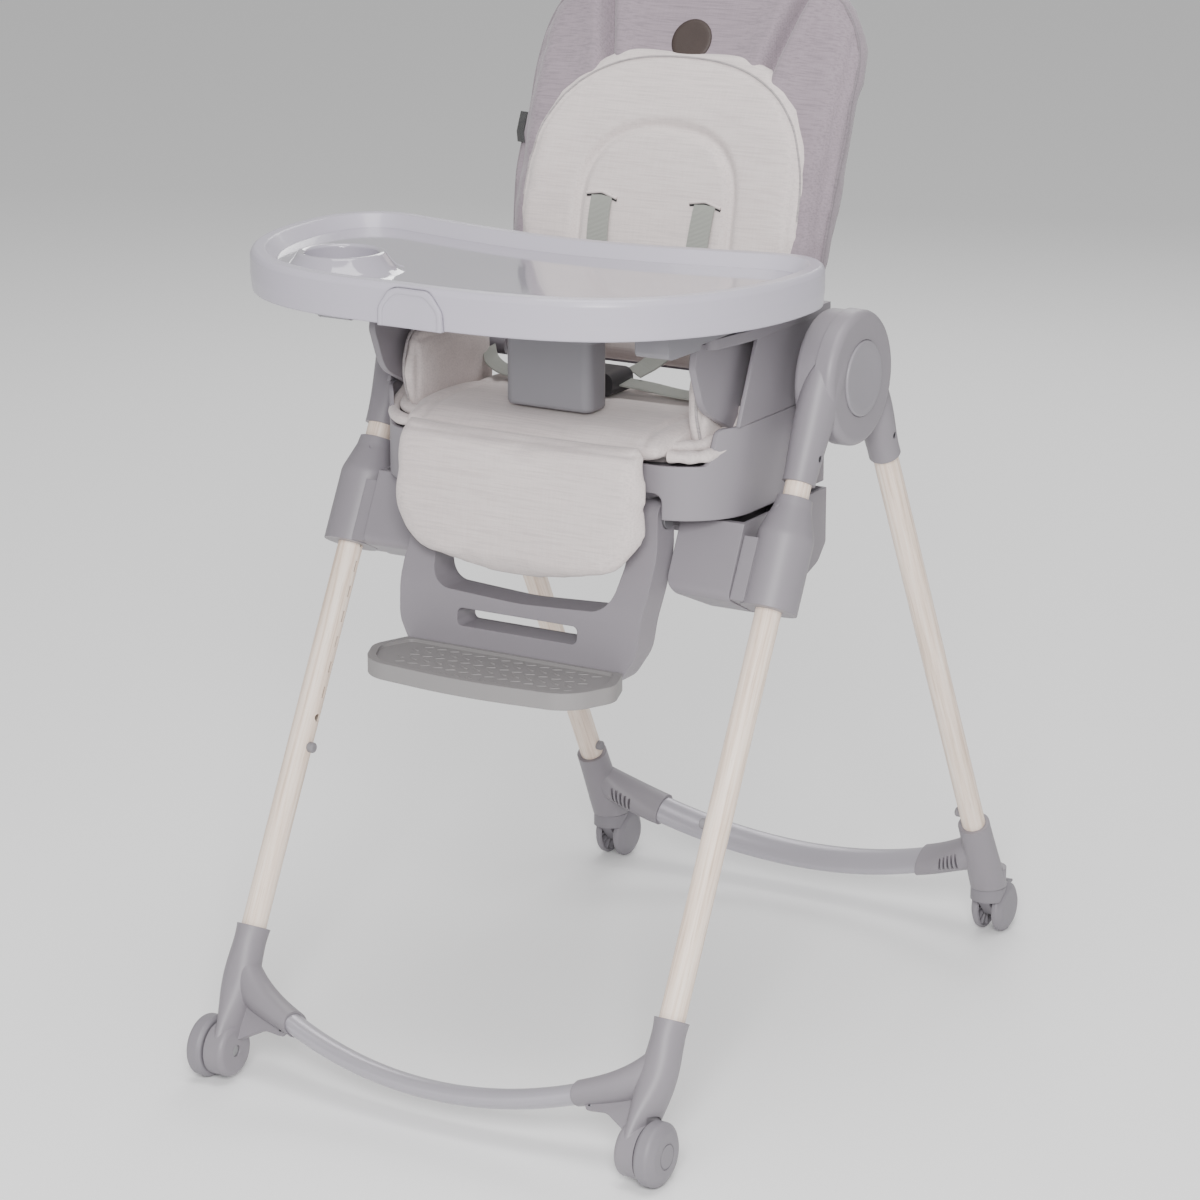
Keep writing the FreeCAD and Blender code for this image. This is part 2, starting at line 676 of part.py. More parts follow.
def carriage():
    """Two side blocks joined by a beam under the seat; the middle is open for the footrest."""
    block_outer = tub_half_width + 8.0
    side = [(-143, carriage_top, 0), (-176, 519, 10), (-122, 493, 16), (-36, 497, 30),
            (14, 514, 20), (beam_rear, 531, 8), (beam_rear, carriage_top, 0)]
    front = [(block_outer, carriage_top, 0), (block_outer, 480, 0), (block_inner_x + 34, 480, 0),
             (block_inner_x, 528, 22), (block_inner_x, carriage_top, 0)]
    block = slab_x(side, block_inner_x, block_outer)
    block = block.common(slab_y(front, -200, 60))
    pocket_rear = beam_rear - block_wall
    pocket_side = [(-136, carriage_top + 1, 0), (-160, 530, 6), (-118, 503, 12), (-38, 504, 20),
                   (6, 520, 14), (pocket_rear, 536, 4), (pocket_rear, carriage_top + 1, 0)]
    pocket_front = [(block_outer - block_wall, carriage_top + 1, 0), (block_outer - block_wall, 485, 0),
                    (block_inner_x + 36, 485, 0), (block_inner_x + block_wall, 531, 18),
                    (block_inner_x + block_wall, carriage_top + 1, 0)]
    pocket = slab_x(pocket_side, block_inner_x, block_outer).common(slab_y(pocket_front, -200, 60))
    block = block.cut(pocket)
    beam = box(-block_inner_x - 1, block_inner_x + 1, beam_front, beam_rear, beam_bottom, carriage_top)
    beam = beam.cut(box(-block_inner_x - 2, block_inner_x + 2, beam_front + block_wall,
                        beam_rear - block_wall, beam_bottom - 1, carriage_top - block_wall))
    parts = [block, mirrored(block)]
    for side in (-1, 1):
        x0, x1 = sorted((side * footrest_lug_x, side * (footrest_lug_x + footrest_lug_thick)))
        arm = slab_x([(beam_front + 1, carriage_top, 0), (footrest_y - 11, footrest_z + 11, 10.5),
                      (footrest_y - 11, footrest_z - 11, 10.5), (beam_front + 1, beam_bottom + 8, 0)], x0, x1)
        parts.append(arm)
    return beam.fuse(parts)


def tub_plan(inset):
    half = tub_half_width - inset
    return [(half, tub_rear - inset, 12), (-half, tub_rear - inset, 12),
            (-half, tub_front + inset, tub_corner - inset), (half, tub_front + inset, tub_corner - inset)]


def seat_shell():
    """Seat tub: floor, front lip and side walls, open above and below the floor."""
    tub = slab_z(tub_plan(0), tub_bottom, tub_rim + 30)
    keep = slab_x([(tub_front - 5, tub_bottom - 1, 0), (tub_rear + 5, tub_bottom - 1, 0),
                   (tub_rear + 5, tub_rim, 0), (tub_front + 31, tub_rim, 8), (tub_front + 24, tub_lip, 6),
                   (tub_front - 5, tub_lip, 0)], -300, 300)
    tub = tub.common(keep)
    tub = tub.cut(slab_z(tub_plan(tub_wall), tub_floor, tub_rim + 40))
    tub = tub.cut(slab_z(tub_plan(tub_wall), tub_bottom - 1, tub_floor - tub_wall))
    rear_gap = tub_half_width - 8.5
    tub = tub.cut(box(-rear_gap, rear_gap, tub_rear - 8, tub_rear + 5, tub_floor + 10, tub_rim + 10))
    arm_room = slab_y(symmetric([(footrest_half_width + 5, tub_bottom - 5, 0),
                                 (footrest_half_width + 5, tub_bottom + 26, 9)]),
                      tub_front - 10, footrest_y + 35)
    tub = tub.cut(arm_room)
    for side in (-1, 1):
        tub = tub.fuse([hinge_lug(side), knuckle_lug(side)])
    return tub


def knuckle_lug(side):
    """Lug on the front lip that carries the leg rest pin."""
    x0, x1 = sorted((side * knuckle_x, side * (knuckle_x + 6)))
    reach = legrest_y - knuckle_radius
    below = legrest_z - knuckle_radius
    above = legrest_z + knuckle_radius
    side = [(tub_front + 2, below, 0), (reach, below, 5.5), (reach, above, 5.5), (tub_front + 2, above, 0)]
    return slab_x(side, x0, x1)


def hinge_lug(side):
    """Lug on the tub wall that carries the backrest pivot."""
    x0, x1 = sorted((side * (tub_half_width - 7), side * tub_half_width))
    return slab_x([(recline_y - 16, tub_rim - 6, 0), (recline_y + 8, tub_rim - 6, 0),
                   (recline_y + 8, recline_z + 8, 7), (recline_y - 10, recline_z + 8, 7)], x0, x1)


def armrest():
    """Side panel above the tub with a top rail and a rounded front plate."""
    panel_foot = tub_rim + 0.3
    lean_run = (armrest_top - panel_foot) * 0.41
    panel = slab_x([(-139, panel_foot, 0), (tub_rear - 1, panel_foot, 0), (tub_rear - 1, armrest_top - 4, 0),
                    (-139 + lean_run, armrest_top - 4, 0)], tub_half_width - 4.5, tub_half_width - 0.5)
    room = slab_x([(recline_y - 17, panel_foot - 1, 0), (recline_y + 9, panel_foot - 1, 0),
                   (recline_y + 9, recline_z + 9, 7), (recline_y - 11, recline_z + 9, 7)],
                  tub_half_width - 10, tub_half_width + 1)
    panel = panel.cut(room)
    rail = slab_z([(armrest_inner, -190, 9), (tub_half_width - 8, -170, 9), (tub_half_width, -120, 20),
                   (tub_half_width, tub_rear, 0), (armrest_inner + 8, tub_rear, 8), (armrest_inner, -60, 20)],
                  armrest_top - 11, armrest_top)
    plate = slab_x([(-192, armrest_top - 5, 0), (-196, 748, 14), (-178, 704, 40), (-124, 676, 10),
                    (-98, 684, 6), (-70, armrest_top - 5, 0)], armrest_inner + 0.5, armrest_inner + 8)
    return panel.fuse([rail, plate])


def seat_cushion():
    """Seat pad that rests on the tub floor and rolls over the front lip."""
    side = [(tub_front - 8, tub_lip + 3, 4), (tub_front - 8, 668, 10), (-120, 674, 60), (16, 669, 10),
            (16, tub_floor + 0.6, 4), (tub_front + 28, tub_floor + 0.6, 4), (tub_front + 26, tub_lip + 3, 3)]
    half = cushion_half_width
    pad = slab_x(side, -half, half)
    plan = [(half, 20, 30), (-half, 20, 30), (-half, -150, 70), (20 - half, -200, 24),
            (half - 20, -200, 24), (half, -150, 70)]
    return pad.common(slab_z(plan, 600, 700))


def seat_bolsters():
    """Padded flaps that stand up beside the sitter's thighs."""
    side = [(-152, 660, 10), (-164, 700, 30), (-150, 741, 22), (-20, 741, 22), (-8, 660, 10)]
    flap = slab_x(side, bolster_x - bolster_thick, bolster_x)
    return group([flap, mirrored(flap)])


def lap_straps():
    """Waist webbing lying across the seat pad."""
    end = cushion_half_width - 2
    low = end - 46
    near = 26.0
    strap = slab_y([(near, 684, 0), (near, 684 + strap_thick, 0), (low, 679 + strap_thick, 0),
                    (end, 690 + strap_thick, 0), (end, 690, 0), (low, 679, 0)], -62, -62 + strap_width)
    return group([strap, mirrored(strap)])


def crotch_strap():
    """Webbing from the pad up to the underside of the buckle."""
    half = strap_width / 2
    return box(-half, half, -106, -40, buckle_bottom - 0.3 - strap_thick, buckle_bottom - 0.3)


def buckle():
    """Harness buckle body with a square well for its button."""
    top = buckle_bottom + 24
    body = slab_y([(-25, buckle_bottom, 8), (25, buckle_bottom, 8), (25, top, 10), (-25, top, 10)],
                  buckle_front, buckle_front + 42)
    well = box(-9, 9, buckle_front - 1, buckle_front + 6, buckle_bottom + 4, buckle_bottom + 20)
    return body.cut(well)


def buckle_button():
    return box(-8.4, 8.4, buckle_front - 2, buckle_front + 3.5, buckle_bottom + 4.6, buckle_bottom + 19.4)


def seat_pins():
    """Pivot pins fixed in the carriage and the tub."""
    pins = []
    for side in (-1, 1):
        x0, x1 = sorted((side * (footrest_lug_x + 1), side * (footrest_half_width + 2)))
        shank = rod_x(x0, x1, footrest_y, footrest_z, footrest_pin_radius)
        x0, x1 = sorted((side * (footrest_half_width + 0.4), side * (footrest_half_width + 3)))
        pins.append(shank.fuse(rod_x(x0, x1, footrest_y, footrest_z, footrest_pin_radius + 4)))
        x0, x1 = sorted((side * (knuckle_x + 1), side * (knuckle_x + 24)))
        pins.append(rod_x(x0, x1, legrest_y, legrest_z, legrest_pin_radius))
        x0, x1 = sorted((side * (tub_half_width - 15), side * (tub_half_width - 1)))
        pins.append(rod_x(x0, x1, recline_y, recline_z, recline_pin_radius))
    return group(pins)


# ---- Backrest -----------------------------------------------------------------------------------

back_line = [(24, 694), (38, 760), (52, 850), (82, 930), (118, 1000), (152, 1066), (158, 1078)]


def back_curve(offset):
    """Side view curve of the back, moved square to itself; the front of the inlay is offset 0."""
    spine = Part.BSplineCurve()
    spine.interpolate(Points=[Vec(0, y, z) for y, z in back_line])
    points = []
    for i in range(15):
        at = spine.FirstParameter + (spine.LastParameter - spine.FirstParameter) * i / 14.0
        along = spine.tangent(at)[0]
        points.append(spine.value(at) + Vec(0, along.z, -along.y) * offset)
    curve = Part.BSplineCurve()
    curve.interpolate(Points=points)
    return curve


def back_layer(near, far, half_width):
    """Curved slab of the back between two offsets."""
    front = back_curve(near)
    rear = back_curve(far)
    edges = [front.toShape(), Part.LineSegment(front.EndPoint, rear.EndPoint).toShape(),
             rear.toShape(), Part.LineSegment(rear.StartPoint, front.StartPoint).toShape()]
    layer = Part.Face(Part.Wire(edges)).extrude(Vec(2 * half_width, 0, 0))
    layer.translate(Vec(-half_width, 0, 0))
    return layer


def back_front_view(half_width, top, corner):
    """Outline of a back layer seen from the front, arched at the top."""
    return [(half_width - 8, recline_z - 8, 12), (half_width, 860, 80), (half_width, top, corner),
            (-half_width, top, corner), (-half_width, 860, 80), (8 - half_width, recline_z - 8, 12)]


def back_place(shape, height):
    """Put a shape drawn on the XZ plane, +Y backwards, on the rear of the back shell."""
    spine = back_curve(inlay_thick + pad_thick + back_shell_thick)
    at = spine.FirstParameter
    while spine.value(at).z < height:
        at += (spine.LastParameter - spine.FirstParameter) / 400.0
    along = spine.tangent(at)[0]
    placed = shape.copy()
    placed.rotate(ORIGIN, X_AXIS, -math.degrees(math.atan2(along.y, along.z)))
    placed.translate(Vec(0, spine.value(at).y, spine.value(at).z))
    return placed


def backrest_shell():
    """Moulded back with ears for its pivot, harness slots and the pocket for the recline handle."""
    near = inlay_thick + pad_thick + 0.3
    layer = back_layer(near, near + back_shell_thick, pad_half_width)
    shell = layer.common(slab_y(back_front_view(pad_half_width - 10, pad_top - 14, 85), -50, 260))
    ear_x = tub_half_width - 16
    for side in (-1, 1):
        x0, x1 = sorted((side * (ear_x - 20), side * (ear_x + 6)))
        ear = slab_x([(recline_y - 10, recline_z - 9, 8), (recline_y + 12, recline_z - 9, 6),
                      (recline_y + 32, recline_z + 8, 6), (recline_y + pad_thick + 17, recline_z + 50, 6),
                      (recline_y + pad_thick + 7, recline_z + 50, 3), (recline_y + 14, recline_z + 14, 12),
                      (recline_y - 10, recline_z + 9, 8)], x0, x1)
        shell = shell.fuse(ear)
        x0, x1 = sorted((side * (ear_x - 21), side * (ear_x + 7)))
        shell = shell.cut(rod_x(x0, x1, recline_y, recline_z, recline_pin_radius + running_gap))
    housing = slab_y([(62, -36, 18), (62, 40, 18), (-62, 40, 18), (-62, -36, 18)], -0.5, 16)
    recess = slab_y([(48, -24, 10), (48, 28, 10), (-48, 28, 10), (-48, -24, 10)], 2, 17)
    shell = shell.fuse(back_place(housing.cut(recess), handle_height))
    for side in (-1, 1):
        x0, x1 = sorted((side * (strap_x - 15), side * (strap_x + 15)))
        slot_top = harness_slot_z - 8
        shell = shell.cut(box(x0, x1, 60, 140, slot_top - harness_slot_height, slot_top))
    return shell


def recline_handle():
    """Pull-up handle in the back of the shell."""
    handle = slab_y([(44, -20, 8), (44, 14, 8), (-44, 14, 8), (-44, -20, 8)], 3, 14)
    grip = slab_y([(34, -21, 0), (34, -2, 8), (-34, -2, 8), (-34, -21, 0)], 7, 15)
    return back_place(handle.cut(grip), handle_height)


def backrest_pad():
    layer = back_layer(inlay_thick, inlay_thick + pad_thick, pad_half_width + 5)
    outline = back_front_view(pad_half_width, pad_top, 92)
    outline[0] = (pad_half_width - 13, recline_z - 8, 12)
    outline[-1] = (13 - pad_half_width, recline_z - 8, 12)
    pad = layer.common(slab_y(outline, -50, 260))
    for side in (-1, 1):
        x0, x1 = sorted((side * (tub_half_width - 38), side * (tub_half_width + 10)))
        pad = pad.cut(box(x0, x1, recline_y - 40, recline_y + 60, recline_z - 20, recline_z + 62))
    return pad


def backrest_inlay():
    layer = back_layer(0.3, inlay_thick - 0.3, inlay_half_width + 5)
    outline = back_front_view(inlay_half_width, inlay_top, inlay_corner)
    return layer.common(slab_y(outline, -50, 260))


def backrest_badge():
    """Plain round patch on the pad, tucked behind the top of the inlay."""
    layer = back_layer(inlay_thick - 2.0, inlay_thick - 0.3, badge_radius + 5)
    disc = Part.makeCylinder(badge_radius, 120, Vec(0, 60, 1050), Vec(0, 0.89, -0.46))
    patch = layer.common(disc)
    return patch.cut(slab_y(back_front_view(inlay_half_width, inlay_top + 0.5, inlay_corner), -50, 260))


def shoulder_straps():
    """Webbing from the harness slots down the front of the inlay."""
    layer = back_layer(-strap_thick - 0.3, -0.1, strap_x + strap_width)
    half = strap_width / 2
    strap = layer.common(slab_y([(strap_x - half, harness_slot_z, 2), (strap_x + half, harness_slot_z, 2),
                                 (strap_x + half - 8, 702, 2), (strap_x - half - 8, 702, 2)], -50, 260))
    return group([strap, mirrored(strap)])


# ---- Tray ---------------------------------------------------------------------------------------

def tray_half_outline():
    """Half plan of the tray from the middle of the front round to the middle of the rear."""
    width = tray_half_width
    depth = tray_rear - tray_front
    return [(0, tray_front), (0.35 * width, tray_front + 0.012 * depth),
            (0.66 * width, tray_front + 0.105 * depth), (0.88 * width, tray_front + 0.31 * depth),
            (0.985 * width, tray_front + 0.56 * depth), (width, tray_front + 0.74 * depth),
            (0.965 * width, tray_front + 0.9 * depth), (0.85 * width, tray_rear),
            (0.66 * width, tray_rear - 2), (0.35 * width, tray_rear - 21), (0, tray_rear - 31)]


def tray_wire(inset, height):
    """Closed plan curve of the tray, moved inwards by inset."""
    half = tray_half_outline()
    plan = half + [(-x, y) for x, y in reversed(half[1:-1])]
    curve = Part.BSplineCurve()
    curve.interpolate(Points=[Vec(x, y, height) for x, y in plan], PeriodicFlag=True)
    points = []
    steps = 60
    for i in range(steps):
        at = curve.FirstParameter + (curve.LastParameter - curve.FirstParameter) * i / steps
        along = curve.tangent(at)[0]
        points.append(curve.value(at) + Vec(-along.y, along.x, 0) * inset)
    moved = Part.BSplineCurve()
    moved.interpolate(Points=points, PeriodicFlag=True)
    return Part.Wire([moved.toShape()])


def tray_prism(inset, z0, z1):
    return Part.Face(tray_wire(inset, z0)).extrude(Vec(0, 0, z1 - z0))


def tray_taper(inset0, z0, inset1, z1):
    return loft([tray_wire(inset0, z0), tray_wire(inset1, z1)])


def tab_outline(gap):
    half = tab_half_width + gap
    return [(half, tray_bottom - 2, 0), (half, tray_top - 22, 14), (half - 14, tray_top - 3 + gap, 16),
            (14 - half, tray_top - 3 + gap, 16), (-half, tray_top - 22, 14), (-half, tray_bottom - 2, 0)]


def tray_body():
    """Rim, skirt and floor of the tray, hollow underneath."""
    skirt = tray_taper(1.5, tray_bottom, 0, tray_bottom + 14)
    wall = tray_prism(0, tray_bottom + 14, tray_top - 6)
    shoulder = tray_taper(0, tray_top - 6, 1.8, tray_top - 2)
    brow = tray_taper(1.8, tray_top - 2, 4.5, tray_top)
    body = skirt.fuse([wall, shoulder, brow])
    well = tray_taper(rim_width + well_slope, tray_floor, rim_width, tray_top + 0.01)
    body = body.cut(well)
    body = body.cut(tray_prism(tray_skin + 1.5, tray_bottom - 1, tray_floor - tray_skin))
    body = body.cut(Part.makeCylinder(cup_radius + 4, 20, Vec(cup_x, cup_y, tray_floor - 15), Z_AXIS))
    return body.cut(slab_y(tab_outline(0.5), tray_front - 5, tray_front + 12))


def tray_insert():
    """Lift-out glossy liner with a raised cup ring and cup well."""
    low = tray_floor + 0.3
    floor = tray_taper(rim_width + well_slope + 0.8, low, rim_width + well_slope - 1.5, low + insert_thick)
    flare = Part.BSplineCurve()
    neck = cup_radius + 7.5
    skirt = cup_radius + 28.0
    flare.interpolate(Points=[Vec(skirt, 0, low + insert_thick - 0.5), Vec(skirt - 10, 0, low + 7),
                              Vec(neck + 2.5, 0, low + 16), Vec(neck, 0, cup_rim_top - 2)])
    crown = Part.Arc(Vec(neck, 0, cup_rim_top - 2), Vec(neck - 3, 0, cup_rim_top),
                     Vec(cup_radius, 0, cup_rim_top - 2.5))
    outer_foot = cup_radius + 2.5
    corners = [Vec(cup_radius, 0, cup_rim_top - 2.5), Vec(cup_radius - 2, 0, cup_bottom + 2.5),
               Vec(0, 0, cup_bottom + 2.5), Vec(0, 0, cup_bottom), Vec(outer_foot - 1.5, 0, cup_bottom),
               Vec(outer_foot, 0, low), Vec(skirt, 0, low), Vec(skirt, 0, low + insert_thick - 0.5)]
    edges = [flare.toShape(), crown.toShape()]
    for here, there in zip(corners, corners[1:]):
        edges.append(Part.LineSegment(here, there).toShape())
    cup = Part.Face(Part.Wire(edges)).revolve(ORIGIN, Z_AXIS, 360)
    cup.translate(Vec(cup_x, cup_y, 0))
    gap = 0.8
    room = tray_taper(rim_width + well_slope + gap, tray_floor, rim_width + gap, tray_top)
    above = Part.makeCylinder(cup_radius + 11, 12, Vec(cup_x, cup_y, tray_top - 2), Z_AXIS)
    below = Part.makeCylinder(cup_radius + 3, 20, Vec(cup_x, cup_y, tray_floor - 18), Z_AXIS)
    cup = cup.common(room.fuse([above, below]))
    floor = floor.cut(Part.makeCylinder(cup_radius + 1, 30, Vec(cup_x, cup_y, cup_bottom), Z_AXIS))
    return floor.fuse(cup)


def tray_tab():
    """Release tab in the front of the skirt."""
    front = tray_prism(-tab_proud, tray_bottom - 1, tray_top - 1)
    behind = tray_prism(tray_skin + 5, tray_bottom - 2, tray_top)
    tab = slab_y(tab_outline(0), tray_front - 20, tray_front + 30).common(front).cut(behind)
    groove = tray_prism(-tab_proud + 0.8, tray_bottom - 2, tray_top)
    inner = slab_y(tab_outline(-5), tray_front - 20, tray_front + 30)
    return tab.cut(inner.cut(groove))


def tray_underframe():
    """Runners and cross plate under the tray, with the root of the crotch post."""
    ceiling = tray_floor - tray_skin - 0.3
    runner = slab_x([(-268, 771, 6), (-268, ceiling, 0), (-80, ceiling, 0), (-80, armrest_top + 1, 4),
                     (-204, armrest_top + 1, 4), (-210, 771, 4)], armrest_inner - 17, tub_half_width - 6)
    half = armrest_inner - 15
    outline = [(half, -236, 20), (half, -100, 20), (-half, -100, 20), (-half, -236, 20)]
    plate = slab_z(outline, 788, ceiling)
    plate = plate.cut(box(10 - half, half - 10, -228, -118, 792, ceiling + 1))
    wide = post_half_width + 5
    root = slab_z([(wide, post_front - 5, 12), (wide, post_rear + 5, 12),
                   (-wide, post_rear + 5, 12), (-wide, post_front - 5, 12)], 752, 793)
    frame = plate.fuse([runner, mirrored(runner), root])
    return frame.common(tray_prism(tray_skin + 2.0, 700, ceiling))


def crotch_post():
    post = slab_z([(post_half_width, post_front, 11), (post_half_width, post_rear, 11),
                   (-post_half_width, post_rear, 11), (-post_half_width, post_front, 11)], post_bottom, 751.7)
    bottom = [edge for edge in post.Edges if edge.BoundBox.ZMax < post_bottom + 0.01]
    return post.makeFillet(5.0, bottom)


# ---- Leg rest and footrest ----------------------------------------------------------------------

def legrest_place(shape):
    """Shape drawn hanging from the origin, put on the leg rest hinge."""
    placed = shape.copy()
    placed.rotate(ORIGIN, X_AXIS, -legrest_lean)
    placed.translate(Vec(0, legrest_y, legrest_z))
    return placed


def legrest_outline(half_width, top, bottom, corner):
    return [(half_width - 2, top, 10), (-half_width + 2, top, 10), (-half_width, top - 60, 60),
            (-half_width + 14, bottom, corner), (half_width - 14, bottom, corner), (half_width, top - 60, 60)]


def legrest_board():
    back = -legrest_pin_radius - 0.5
    front = back - legrest_board_thick
    board = slab_y(legrest_outline(104, -knuckle_radius - 1.5, 14 - legrest_length, 24), front, back)
    for side in (-1, 1):
        x0, x1 = sorted((side * (knuckle_x + 7), side * (knuckle_x + 22)))
        knuckle = slab_x([(front, knuckle_radius - 1, 3), (knuckle_radius, knuckle_radius - 1, 4.5),
                          (knuckle_radius, 1 - knuckle_radius, 4.5), (back + 1, -knuckle_radius - 8, 0),
                          (front + 0.5, -knuckle_radius - 8, 0)], x0, x1)
        board = board.fuse(knuckle)
        board = board.cut(rod_x(x0 - 1, x1 + 1, 0, 0, legrest_pin_radius + running_gap))
    return legrest_place(board)


def legrest_pad():
    near = -legrest_pin_radius - 0.8 - legrest_board_thick
    face = near - legrest_pad_thick
    pad = slab_y(legrest_outline(legrest_half_width, -4, -legrest_length, 50), face, near)
    crown = slab_x([(near, -4, 0), (face, -5, 10), (face, -70, 60),
                    (face + 3, -legrest_length, 8), (near, -legrest_length, 0)], -200, 200)
    return legrest_place(pad.common(crown))


def footrest_bracket():
    """U-shaped bracket with a hand slot, thick from front to back."""
    half = footrest_half_width
    low = plate_z - 13
    side = [(footrest_y - 18, footrest_z + 18, 14), (footrest_y + 15, footrest_z + 18, 14),
            (footrest_y + 13, 555, 50), (footrest_y - 16, 490, 60), (footrest_y - 28, low, 6),
            (footrest_y - 60, low, 6), (footrest_y - 50, 500, 60), (footrest_y - 20, 556, 60)]
    front = [(half, footrest_z + 22, 0), (half + 2, 520, 60), (half - 2, 462, 40), (half - 22, low, 24),
             (22 - half, low, 24), (2 - half, 462, 40), (-half - 2, 520, 60), (-half, footrest_z + 22, 0)]
    inner = footrest_arm_x
    opening = [(inner, footrest_z + 30, 0), (inner, 540, 40), (inner - 6, 499, 26), (0, 494, 300),
               (6 - inner, 499, 26), (-inner, 540, 40), (-inner, footrest_z + 30, 0)]
    bracket = slab_x(side, -half - 5, half + 5).common(slab_y(front, -300, 0)).cut(slab_y(opening, -300, 0))
    slot = slab_y([(70, 463, 6), (70, 481, 6), (-70, 481, 6), (-70, 463, 6)], -300, 0)
    bracket = bracket.cut(slot)
    for side_sign in (-1, 1):
        x0, x1 = sorted((side_sign * (inner - 1), side_sign * (half + 4)))
        bracket = bracket.cut(rod_x(x0, x1, footrest_y, footrest_z, footrest_pin_radius + running_gap))
        x0, x1 = sorted((side_sign * half, side_sign * (half + 6)))
        bracket = bracket.cut(rod_x(x0, x1, footrest_y, footrest_z, footrest_pin_radius + 4.5))
    return bracket


def footrest_plate():
    """Tread with a raised rim and rows of grip dashes."""
    rear = footrest_y - 60 + 0.3
    plan = [(126, rear, 4), (141, rear - 40, 26), (118, plate_front + 12, 44), (0, plate_front, 500),
            (-118, plate_front + 12, 44), (-141, rear - 40, 26), (-126, rear, 4)]
    plate = slab_z(plan, plate_z - plate_thick, plate_z + 3)
    dish = [(118, rear - 5, 6), (132, rear - 40, 22), (112, plate_front + 20, 40), (0, plate_front + 8, 500),
            (-112, plate_front + 20, 40), (-132, rear - 40, 22), (-118, rear - 5, 6)]
    plate = plate.cut(slab_z(dish, plate_z, plate_z + 4))
    under = [(116, rear - 6, 6), (129, rear - 40, 20), (108, plate_front + 24, 36),
             (-108, plate_front + 24, 36), (-129, rear - 40, 20), (-116, rear - 6, 6)]
    return plate.cut(slab_z(under, plate_z - plate_thick - 1, plate_z - 3))


# ---- Write every part ---------------------------------------------------------------------------

os.makedirs("parts", exist_ok=True)

save_pair("front_leg", lean_front(front_leg()))
save_pair("front_hub", lean_front(front_hub()))
save_pair("fold_button", lean_front(fold_button()))
save_pair("front_foot", lean_front(front_foot()))
save("front_crossbar", lean_front(crossbar_tube(front_bar_drop)))
save_pair("front_wheel", front_wheel())
front_pins = [lean_front(pivot_pin()), front_axle()]
save("hub_and_axle_pins", group(front_pins + [mirrored(pin) for pin in front_pins]))
front_small = [lean_front(sleeve_screw(front_sleeve_end)), lean_front(socket_screw(front_bar_drop))]
save("front_frame_screws", group(front_small + [mirrored(screw) for screw in front_small]))
front_stop = lean_front(leg_stop(leg_stop_drop))
save("front_leg_stops", group([front_stop, mirrored(front_stop)]))

save_pair("rear_leg", lean_rear(leg_tube(rear_leg_drop)))
save_pair("rear_hub", lean_rear(rear_hub()))
save_pair("rear_foot", rear_foot())
save("rear_crossbar", lean_rear(crossbar_tube(rear_bar_drop)))
rear_small = [lean_rear(sleeve_screw(rear_sleeve_end)), lean_rear(socket_screw(rear_bar_drop))]
save("rear_frame_screws", group(rear_small + [mirrored(screw) for screw in rear_small]))
rear_stop = lean_rear(leg_stop(rear_rim - 14))
save("rear_leg_stops", group([rear_stop, mirrored(rear_stop)]))

save_pair("caster_fork", caster_fork())
save_pair("caster_wheels", caster_wheels())
save_pair("caster_brake", caster_brake())

save_pair("slider", slider())
save("carriage", on_seat(carriage()))
save("seat_shell", on_seat(seat_shell()))
save_pair("armrest", on_seat(armrest()))
save("seat_cushion", on_seat(seat_cushion()))
save("seat_bolsters", on_seat(seat_bolsters()))
save("seat_pins", on_seat(seat_pins()))
save("lap_straps", on_seat(lap_straps()))
save("crotch_strap", on_seat(crotch_strap()))
save("buckle", on_seat(buckle()))
save("buckle_button", on_seat(buckle_button()))

save("backrest_shell", on_seat(backrest_shell()))
save("backrest_pad", on_seat(backrest_pad()))
save("backrest_inlay", on_seat(backrest_inlay()))
save("backrest_badge", on_seat(backrest_badge()))
save("shoulder_straps", on_seat(shoulder_straps()))
save("recline_handle", on_seat(recline_handle()))

save("tray_body", on_seat(tray_body()))
save("tray_insert", on_seat(tray_insert()))
save("tray_tab", on_seat(tray_tab()))
save("tray_underframe", on_seat(tray_underframe()))
save("crotch_post", on_seat(crotch_post()))

save("legrest_board", on_seat(legrest_board()))
save("legrest_pad", on_seat(legrest_pad()))
save("footrest_bracket", on_seat(footrest_bracket()))
save("footrest_plate", on_seat(footrest_plate()))
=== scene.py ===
"""Looks of the folding high chair: materials, padded fabric, harness, trim, light and camera."""
import math

import bmesh
import bpy
import numpy as np
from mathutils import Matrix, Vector
from mathutils.bvhtree import BVHTree


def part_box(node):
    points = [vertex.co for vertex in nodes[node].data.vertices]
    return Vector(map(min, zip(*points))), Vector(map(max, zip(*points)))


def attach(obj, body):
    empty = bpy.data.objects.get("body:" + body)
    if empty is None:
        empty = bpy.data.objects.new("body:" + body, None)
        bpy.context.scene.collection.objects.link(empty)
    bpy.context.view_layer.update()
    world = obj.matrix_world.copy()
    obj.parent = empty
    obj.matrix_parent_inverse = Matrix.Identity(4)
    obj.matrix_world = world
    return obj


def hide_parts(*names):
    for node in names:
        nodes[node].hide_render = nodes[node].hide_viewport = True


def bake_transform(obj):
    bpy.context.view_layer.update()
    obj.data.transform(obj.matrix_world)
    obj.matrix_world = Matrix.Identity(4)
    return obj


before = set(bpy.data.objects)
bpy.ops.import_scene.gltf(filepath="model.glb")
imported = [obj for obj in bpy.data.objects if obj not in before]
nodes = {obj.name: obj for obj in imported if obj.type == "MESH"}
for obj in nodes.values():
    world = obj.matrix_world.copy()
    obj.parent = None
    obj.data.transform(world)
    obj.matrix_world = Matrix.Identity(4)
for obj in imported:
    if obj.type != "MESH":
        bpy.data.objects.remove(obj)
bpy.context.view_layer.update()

LEG_LEAN = math.radians(27.1)

# ---- Camera, light and floor ----------------------------------------------------------------------

